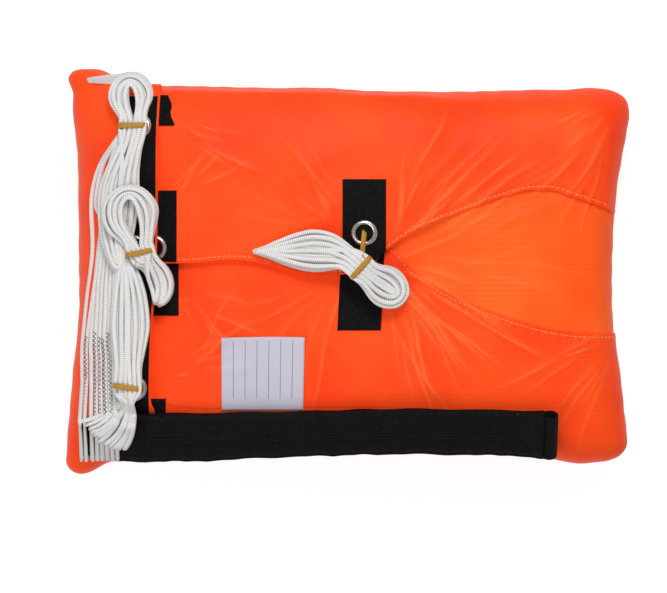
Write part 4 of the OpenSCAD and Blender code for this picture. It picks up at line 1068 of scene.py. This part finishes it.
HANKS = {
    "hank_top": dict(
        neck=(-123.6, 85.6), seed=31, ground=past_rim, body="stowed_lines",
        ahead=dict(spine=[(0, 4), (-1.2, 14), (-2.6, 30)], belly=11.8, tip_lift=5.0),
        behind=dict(spine=[(-0.6, -4), (-2.8, -14), (-7.6, -34), (-9.4, -60), (-9, -84)], belly=10.8,
                    peak=0.5, taper=0.7, nest=4.1, tip_lift=3.2)),
    "hank_mid": dict(
        neck=(-119.2, 12.7), seed=32, ground=over_flap, body="stowed_lines",
        ahead=dict(spine=[(-0.8, 4), (-2.4, 11), (-5.6, 22), (-7.2, 37.5)], belly=14.8, peak=0.62, nest=3.7,
                   tip_lift=9.6),
        behind=dict(spine=[(2.6, -3), (6.6, -7.6), (11.0, -15), (11.8, -23), (9.0, -30)], belly=5.8,
                    peak=0.55, shrink=0.6, tip_lift=0.5, rolled=True)),
    "hank_bottom": dict(
        neck=(-126.6, -64.6), seed=33, ground=over_bridle, body="stowed_lines",
        ahead=dict(spine=[(0, 4), (0.3, 20), (0.6, 38), (0, 55), (-1.7, 76)], belly=10.2, peak=0.45,
                   taper=0.7, nest=3.9, tip_lift=3.0),
        behind=dict(spine=[(0, -4), (0, -20), (0, -37)], belly=0.8, shrink=0.6, tip_lift=3.4, stack=1.1,
                    fan=(-36, 17), curl=22, reach=[(0, 0.9), (0.5, 0.95), (0.8, 1), (1, 1.03)],
                    rolled=True)),
    "hank_centre": dict(
        neck=(6.9, 4.0), seed=34, ground=over_leaf, body="centre_hank",
        ahead=dict(spine=[(3, -2.6), (8.6, -6.9), (16.5, -12.2), (24.6, -18.4)], belly=10.4, nest=3.7,
                   neck_lift=7.2, tip_lift=3.4),
        behind=dict(spine=[(-3, 2.6), (-10.4, 7.6), (-20.9, 9.8), (-35.4, 9.9), (-62.6, 9.3)], belly=10.6,
                    peak=0.4, taper=1.7, nest=4.0, shrink=2.0, neck_lift=7.2, tip_lift=2.4, stack=0.8)),
}
for hank_name, hank in HANKS.items():
    braid, _ = add_line("braid_" + hank_name, hank_controls(hank))
    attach(braid, hank["body"])
    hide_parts(hank_name)

# Tails
# Eight of the lines run down the flap to the bridle, the outer two in wider bows. Each is looped round the
# bridle and sewn back to itself with black thread in zigzag, so that the seam gives with the braid.
TAIL_X = -154.4
TAIL_PLACES = (0, 2.6, 6.3, 9.3, 12.2, 15.1, 18.0, 20.8)
TAIL_LOOP = ((15, 6.2), (9, 6.5), (3, 6.1), (-7, 5.7), (-14.6, 5.2), (-16.9, 2.9), (-14.6, 0.5), (-6, 0.3),
             (4, 0.3))
ZIGZAG_TAILS, ZIGZAG_TOP, ZIGZAG_END = (1, 3, 4, 5, 6), -33, -80
ZIGZAG_STEP, ZIGZAG_HALF, THREAD_R = 1.25, 0.85, 0.27
black_thread = sewing_thread("black_thread", "#1A1A1C")
zigzag_points, zigzag_faces, tail_pieces = [], [], []
for k, place in enumerate(TAIL_PLACES):
    x = TAIL_X + place
    inner = max(k - 2, 0)
    close = TAIL_X + 0.4 + 2.6 * k
    top = (87, -127 + 0.9 * k)
    outer_bow = (top, (76, -134.4), (64, -142.8), (51, -147.4), (38, -148.6), (14, -148.0), (-14, -151.6),
                 (-38, close))
    second_bow = (top, (76, -133.6), (64, -141.0), (51, -144.6), (39, -145.6), (28, -141.8), (-8, -147.0),
                  (-38, close))
    straight = (top, (76, -132.2 + 1.2 * inner), (64, -137 + 1.7 * inner), (50, -140.6 + 2.3 * inner),
                (30, -142.4 + 2.5 * inner), (0, close + 3.6 - 0.3 * k), (-20, close + 2 - 0.2 * k),
                (-40, close))
    rows = []
    for y, tail_x in (outer_bow, second_bow, straight)[min(k, 2)]:
        lift = 1.8 + 1.4 * float(ease((tail_x + 138) / 4)) + 3.2 * float(ease((y - 58) / 20)) + 0.5 * (k % 2)
        rows.append((tail_x, y, over_flap(tail_x, y, lift)))
    for y in (-46, -54, -62):
        rows.append(((x + close) / 2, y, over_flap(x, y, 2.4)))
    rows += [tuple(on_bridle(x, across, up)) for across, up in TAIL_LOOP]
    tail, path = add_line(f"line_tail_{k + 1}", rows)
    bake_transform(tail)
    tail_pieces.append(tail)
    if k in ZIGZAG_TAILS:
        sewn = path[(path[:, 1] < ZIGZAG_TOP - 2 * (k % 3)) & (path[:, 1] > ZIGZAG_END) & (path[:, 2] > 60)]
        sewn = even_steps(sewn, ZIGZAG_STEP)
        seam = sewn + cloth_up(sewn) * (LINE_T / 2 + 0.12)
        seam[:, 0] += ZIGZAG_HALF * np.where(np.arange(len(seam)) % 2, 1, -1)
        first = len(zigzag_points)
        for p in seam:
            zigzag_points += [p - (0, THREAD_R, 0), p + (0, 0, 0.25), p + (0, THREAD_R, 0), p - (0, 0, 0.25)]
        zigzag_faces += grid_faces(len(seam), 4, first, closed=True).tolist()
        last = first + 4 * len(seam) - 1
        zigzag_faces += [[first + i for i in range(4)], [last - i for i in range(4)]]
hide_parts("line_tails", "line_loops")
zigzag_uv = np.array(zigzag_points)[:, :2] * MM
zigzag = add_mesh("tail_zigzag", zigzag_points, zigzag_faces, zigzag_uv, black_thread)
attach(zigzag, "mouth_flap")

# Lead lines
# Three lines of the same braid come out of a slit in the cloth tunnel at the top left corner. They lie loose
# in a low bow and run into the top hank.
LEAD_LEFT, LEAD_Y, LEAD_RUN, LEAD_COUNT = -152.0, 113.3, 24.0, 3
lead_start = over_flap(LEAD_LEFT, LEAD_Y, -1.2)
lead_end = over_flap(LEAD_LEFT + LEAD_RUN, LEAD_Y - 4, 5)
for k in range(LEAD_COUNT):
    rows = []
    for share in np.linspace(0, 1, 6):
        y = LEAD_Y + (k - 1) * (0.3 + 1.9 * share) - 0.6 * share
        z = lead_start + (lead_end - lead_start) * share + 3 * math.sin(math.pi * share) + 0.9 * k * share
        rows.append((LEAD_LEFT + LEAD_RUN * share, y, z))
    lead, _ = add_line(f"lead_line_{k + 1}", rows)
    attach(lead, "mouth_flap")
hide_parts("line_lead")

# Rubber loops
# Ochre rubber loops grip the necks of the hanks. Each comes up through an eyelet, and stretches as a hank
# is pulled out of it.
BAND_W, BAND_T = 3.0, 1.0


def ochre_rubber():
    """Natural rubber, moulded: ochre, slightly waxy, a little darker in specks."""
    made, tree, shader = new_material("ochre_rubber", 0.5, 0.3)
    place = add_node(tree, "UVMap")
    speck = add_node(tree, "TexNoise", inputs={"Scale": 700.0, "Detail": 3.0},
                     links={"Vector": place.outputs["UV"]})
    shade = add_node(tree, "Mix", MIX_COLOURS,
                     {MIX_A: colour("#9E6F1C"), MIX_B: colour("#C8922F")}, {0: speck.outputs[0]})
    tree.links.new(shade.outputs[MIX_OUT], shader.inputs["Base Color"])
    bump = add_node(tree, "Bump", inputs={"Strength": 0.15, "Distance": 0.2 * MM},
                    links={"Height": speck.outputs[0]})
    tree.links.new(bump.outputs[0], shader.inputs["Normal"])
    return made


rubber = ochre_rubber()


def strap_section(width, thick, round_by=0.3):
    w, t, r = width / 2, thick / 2, round_by
    half = [(w, -t + r), (w, t - r), (w - r, t), (-w + r, t)]
    return half + [(-a, -b) for a, b in half]


def join_pieces(name, pieces):
    """Several meshes of one material as one piece."""
    first = pieces[0]
    with bpy.context.temp_override(active_object=first, selected_editable_objects=pieces, object=first):
        bpy.ops.object.join()
    first.name = name
    return first


def add_band(name, hank, angle, ring, ring_top, node):
    """A flattened ring round the neck, lying at an angle, and a leg from its underside into the eyelet."""
    half, tall = NECK_HALF + LINE_W / 2 + 0.1, LAYERS * LAYER_RISE / 2 + 0.9
    x, y = hank["neck"]
    lift = hank["ahead"].get("neck_lift", NECK_LIFT)
    middle = np.array([x, y, hank["ground"](x, y, lift) + (LAYERS - 1) * LAYER_RISE / 2])
    across = np.array([math.cos(angle), math.sin(angle), 0])
    turn = np.arange(48) * 2 * math.pi / 48
    c, s = np.cos(turn), np.sin(turn)
    wide, high = half * np.sign(c) * np.abs(c) ** 0.55, tall * np.sign(s) * np.abs(s) ** 0.75
    loop = middle + wide[:, None] * across + high[:, None] * np.array([0, 0, 1.0])
    strap = strap_section(BAND_W, BAND_T)
    ring_piece = sweep(name + "_loop", loop, loop - middle, strap, rubber, closed=True)
    under = middle + np.array([0, 0, -tall])
    hole = np.array([ring[0], ring[1], ring_top])
    leg = smooth_path([under + (under - hole) * 0.15, under + (0, 0, -0.4), (under + hole) / 2 + (0, 0, 0.6),
                       hole + (0, 0, -0.6), hole + (0, 0, -3.5)], 1.0)
    leg_piece = sweep(name + "_leg", leg, np.repeat([[0.35, 0.25, 1.0]], len(leg), 0), strap, rubber)
    made = join_pieces(name, [ring_piece, leg_piece])
    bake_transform(made)
    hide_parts(node)


BAND_ANGLES = {"top": 0.0, "mid": math.radians(12), "bottom": math.radians(-8)}
for (place, angle), ring_y in zip(BAND_ANGLES.items(), STRIP_RING_YS):
    add_band("rubber_band_" + place, HANKS["hank_" + place], angle, (STRIP_X, ring_y),
             over_flap(STRIP_X, ring_y, strip_seat + 1.0), "band_" + place)
add_band("rubber_band_centre", HANKS["hank_centre"], math.radians(48), CENTRE_RING,
         over_leaf(*CENTRE_RING, leaf_seat + 1.0), "band_centre")

# Bridle
# The black bridle is 26 mm webbing, doubled and sewn, with an eye at its free end. A cloth sleeve covers it,
# closed by a flap along its upper edge, and its left end lies under the loops of the lines.
SLEEVE_H, SLEEVE_T, COVER_GAP, COVER_SEAM = 5.7, 0.9, 0.3, 0.5
BRIDLE_LEFT, BRIDLE_HINGE, SLEEVE_RIGHT, EYE_X = -HALF_X + 15, -HALF_X + 51.5, 112.5, 116.0
WEB_W, WEB_T, EYE_R, ROOT_W = 29.0, 1.5, 3.2, 26.0
UPPER_PLY, LOWER_PLY = 3.7, 2.0
black_webbing = woven_black("black_webbing", "#0B0B0C", "#1A1A1B", 1.6, 0.75, 0.5)
sleeve_cloth = woven_black("black_sleeve_cloth", "#080808", "#141414", 0.8, 0.72, 0.2)


def sleeve_rise(x):
    """The sleeve's end stands up over the webbing's eye."""
    return 2.9 * ease((x - 99) / 12)


SLEEVE_ROWS, SLEEVE_SIDES = 220, 56
sleeve_x = np.linspace(BRIDLE_HINGE - 16, SLEEVE_RIGHT, SLEEVE_ROWS)
sx, st = np.meshgrid(sleeve_x, np.arange(SLEEVE_SIDES) * 2 * math.pi / SLEEVE_SIDES, indexing="ij")
sleeve_across = SLEEVE_W / 2 * np.sign(np.cos(st)) * np.abs(np.cos(st)) ** 0.35
upper_side = ease(np.sin(st) * 2)
sleeve_up = SLEEVE_H / 2 * (1 + np.sign(np.sin(st)) * np.abs(np.sin(st)) ** 0.5)
sleeve_up = sleeve_up + upper_side * sleeve_rise(sx)
ripple = ease((-sleeve_across - 1) / 8) * upper_side
sleeve_up = sleeve_up + ripple * (0.45 * np.sin(sx / 2.6 + 2 * np.sin(sx / 15)) - 0.15)
sleeve_up = sleeve_up - 0.5 * np.exp(-((sleeve_across + 13.2) / 0.7) ** 2) * (np.sin(st) > 0)
sleeve_across = sleeve_across + 0.35 * np.sin(sx / 5.5 + np.sin(sx / 21)) * np.abs(np.cos(st))
sleeve_across = sleeve_across - 2.2 * ease((-30 - sx) / 70) * ease(-sleeve_across / 15)
sleeve_faces = grid_faces(SLEEVE_ROWS, SLEEVE_SIDES, closed=True).tolist()
sleeve_faces += [list(range(SLEEVE_SIDES - 1, -1, -1)),
                 list(range((SLEEVE_ROWS - 1) * SLEEVE_SIDES, SLEEVE_ROWS * SLEEVE_SIDES))]
sleeve_points = on_bridle(sx, sleeve_across, sleeve_up).reshape(-1, 3)
sleeve = add_mesh("bridle_sleeve_cloth", sleeve_points, sleeve_faces,
                  np.stack([sx, sleeve_across], -1).reshape(-1, 2) * MM, sleeve_cloth)
on_bridle(BRIDLE_HINGE - 6, 0, 2) * MM
on_bridle(BRIDLE_HINGE + 12, 0, 2) * MM
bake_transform(sleeve)
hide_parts("bridle_sleeve")

cover_x, cover_t = np.meshgrid(np.linspace(BRIDLE_HINGE + 2, SLEEVE_RIGHT, 190), np.linspace(0, 1, 26),
                               indexing="ij")
cover_w = -2 + (SLEEVE_W / 2 + 1.3 * ease((cover_x + 5) / 4) + 2) * cover_t
cover_wave = 0.25 * np.sin(cover_x / 7 + np.sin(cover_x / 25)) * (1 - cover_t)
cover_low = SLEEVE_H + COVER_GAP + cover_wave + sleeve_rise(cover_x) - 1.6 * ease((cover_t - 0.86) / 0.14)
cover_high = cover_low + SLEEVE_T - 0.3 * np.exp(-((cover_w - COVER_SEAM) / 0.5) ** 2)
cover = add_shell("sleeve_cover_flap", on_bridle(cover_x, cover_w, cover_high),
                  on_bridle(cover_x, cover_w, cover_low), sleeve_cloth,
                  np.stack([cover_x, cover_w], -1) * MM)
on_bridle(0, SLEEVE_W / 2, SLEEVE_H) * MM
on_bridle(0, SLEEVE_W / 2 - 4, SLEEVE_H) * MM
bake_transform(cover)
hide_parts("sleeve_flap")
seam_x = np.linspace(BRIDLE_HINGE + 3, SLEEVE_RIGHT - 1, 150)
seam_line = on_bridle(seam_x, COVER_SEAM, SLEEVE_H + COVER_GAP + SLEEVE_T - 0.1 + sleeve_rise(seam_x))
sleeve_thread = sewing_thread("sleeve_thread", "#060606")
cover_stitches = add_stitches("cover_stitches", seam_line, sleeve_thread, radius=0.2)
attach(cover_stitches, "sleeve_flap")


def add_webbing(name, route, width, thick, body, node):
    """Webbing on edge-on route points of (along, up), swept across the bridle."""
    path = smooth_path([(x, 0, up) for x, up in route], 1.2)
    line = on_bridle(path[:, 0], np.zeros(len(path)), path[:, 2])
    across = np.array([[0, math.cos(BRIDLE_TILT), math.sin(BRIDLE_TILT)]])
    made = sweep(name, line, np.cross(across, np.gradient(line, axis=0)), strap_section(width, thick),
                 black_webbing)
    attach(made, body)
    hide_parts(node)


eye_up, eye_r = EYE_R + WEB_T - 0.3, EYE_R + WEB_T / 2
eye_turn = [(EYE_X + eye_r * math.sin(t), eye_up + eye_r * math.cos(t))
            for t in np.linspace(-0.35, math.pi + 0.35, 17)]
eye_route = [(60, UPPER_PLY), (96, UPPER_PLY), (106, 4.6), *eye_turn, (106, 2.9), (96, LOWER_PLY),
             (60, LOWER_PLY)]
add_webbing("bridle_webbing_eye", eye_route, WEB_W, WEB_T - 0.1, "bridle", "bridle_webbing")
root_route = [(BRIDLE_HINGE - 1, UPPER_PLY), (BRIDLE_LEFT + 3, UPPER_PLY), (BRIDLE_LEFT + 1, 3.3),
              (BRIDLE_LEFT + 0.8, 2.4), (BRIDLE_LEFT + 3, LOWER_PLY), (BRIDLE_HINGE - 1, LOWER_PLY)]
add_webbing("bridle_root_webbing", root_route, ROOT_W, WEB_T, "mouth_flap", "bridle_root")

# Handle loop
# A short loop of webbing takes the strap of the deployment handle.
# It is sewn across the underside of the right end by its two feet.
HANDLE_LEN, HANDLE_GAP, HANDLE_W, HANDLE_T = 64.0, 6.3, 11.0, 1.4
HANDLE_U, FOOT_GAP = 0.915, 0.3
foot_y = HANDLE_LEN / 2
wall, below, above = (cushion_bottom(np.array(HANDLE_U + e), np.array(0.0), RIM_D + CLOTH_T)
                      for e in (0, -0.02, 0.02))
slope = (above - below) / np.linalg.norm(above - below)
outward = np.array([slope[2], 0, -slope[0]])
foot = FOOT_GAP + SIDE_DRAW * (foot_y / HALF_Y) ** 2 * 0.5
handle_route = [(foot, -foot_y), (foot, 8 - foot_y), (HANDLE_GAP, 16 - foot_y), (HANDLE_GAP + 0.2, 0),
                (HANDLE_GAP, foot_y - 16), (foot, foot_y - 8), (foot, foot_y)]
handle_points = [wall + outward * (out + HANDLE_T / 2) + (0, y, 0) for out, y in handle_route]
handle_path = smooth_path(handle_points, 1.0)
handle = sweep("handle_strap", handle_path, np.cross(np.gradient(handle_path, axis=0), slope),
               strap_section(HANDLE_W, HANDLE_T), black_webbing)
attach(handle, "bag")
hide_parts("handle_loop")

# Camera, light and table
# The camera looks straight down from far above, so that the bag shows almost no perspective.
# A matt white table carries the bag, under two broad soft lamps and an even white sky.
PIXEL = 0.58
PHOTO_W, PHOTO_H = 667, 593
ORIGIN_PX = (348.5, 275.0)
EYE_UP = 2500.0
LEVEL = 62.0
TABLE_HALF, TABLE_Z, TABLE_WHITE, SKY = 3000, -0.3, 0.75, 0.33
camera_data = bpy.data.cameras.new("camera")
camera_data.sensor_width = 36
camera_data.lens = camera_data.sensor_width * EYE_UP / (PHOTO_W * PIXEL)
camera = bpy.data.objects.new("camera", camera_data)
camera.location = ((PHOTO_W / 2 - ORIGIN_PX[0]) * PIXEL * MM, (ORIGIN_PX[1] - PHOTO_H / 2) * PIXEL * MM,
                   (LEVEL + EYE_UP) * MM)
bpy.context.scene.collection.objects.link(camera)
bpy.context.scene.camera = camera


def add_lamp(name, place, size, power):
    """A round soft lamp, aimed at the middle of the table."""
    data = bpy.data.lights.new(name, "AREA")
    data.shape, data.size, data.energy = "DISK", size, power
    lamp = bpy.data.objects.new(name, data)
    lamp.location = place
    x, y, z = place
    lamp.rotation_euler = (math.atan2(math.hypot(x, y), z), 0, math.atan2(-y, -x) - math.pi / 2)
    bpy.context.scene.collection.objects.link(lamp)


add_lamp("key_lamp", place=(0.15, 0.95, 1.4), size=0.6, power=15.5)
add_lamp("fill_lamp", place=(-0.8, -0.7, 1.3), size=1.2, power=9.5)
world = bpy.data.worlds.new("studio")
world.use_nodes = True
bpy.context.scene.world = world
world.node_tree.nodes["Background"].inputs["Color"].default_value = colour("#FFFFFF")
world.node_tree.nodes["Background"].inputs["Strength"].default_value = SKY

table_material, table_tree, table_shader = new_material("white_table", 0.9, 0.2)
table_shader.inputs["Base Color"].default_value = colour("#BCBCBC")
table_shader.inputs["Emission Color"].default_value = colour("#FFFFFF")
seen_by = add_node(table_tree, "LightPath")
shown = seen_by.outputs["Is Camera Ray"]
for ray in ("Is Glossy Ray", "Is Transmission Ray"):
    either = add_node(table_tree, "Math", {"operation": "MAXIMUM"},
                      links={0: shown, 1: seen_by.outputs[ray]})
    shown = either.outputs[0]
glow = add_node(table_tree, "Math", {"operation": "MULTIPLY"}, {1: TABLE_WHITE}, {0: shown})
table_tree.links.new(glow.outputs[0], table_shader.inputs["Emission Strength"])
table_places = [(0, 0), (1, 0), (1, 1), (0, 1)]
table_points = [((2 * u - 1) * TABLE_HALF, (2 * v - 1) * TABLE_HALF, TABLE_Z) for u, v in table_places]
table = add_mesh("table", table_points, [(0, 1, 2, 3)], table_places, table_material)
bpy.context.scene.view_settings.view_transform = "Standard"
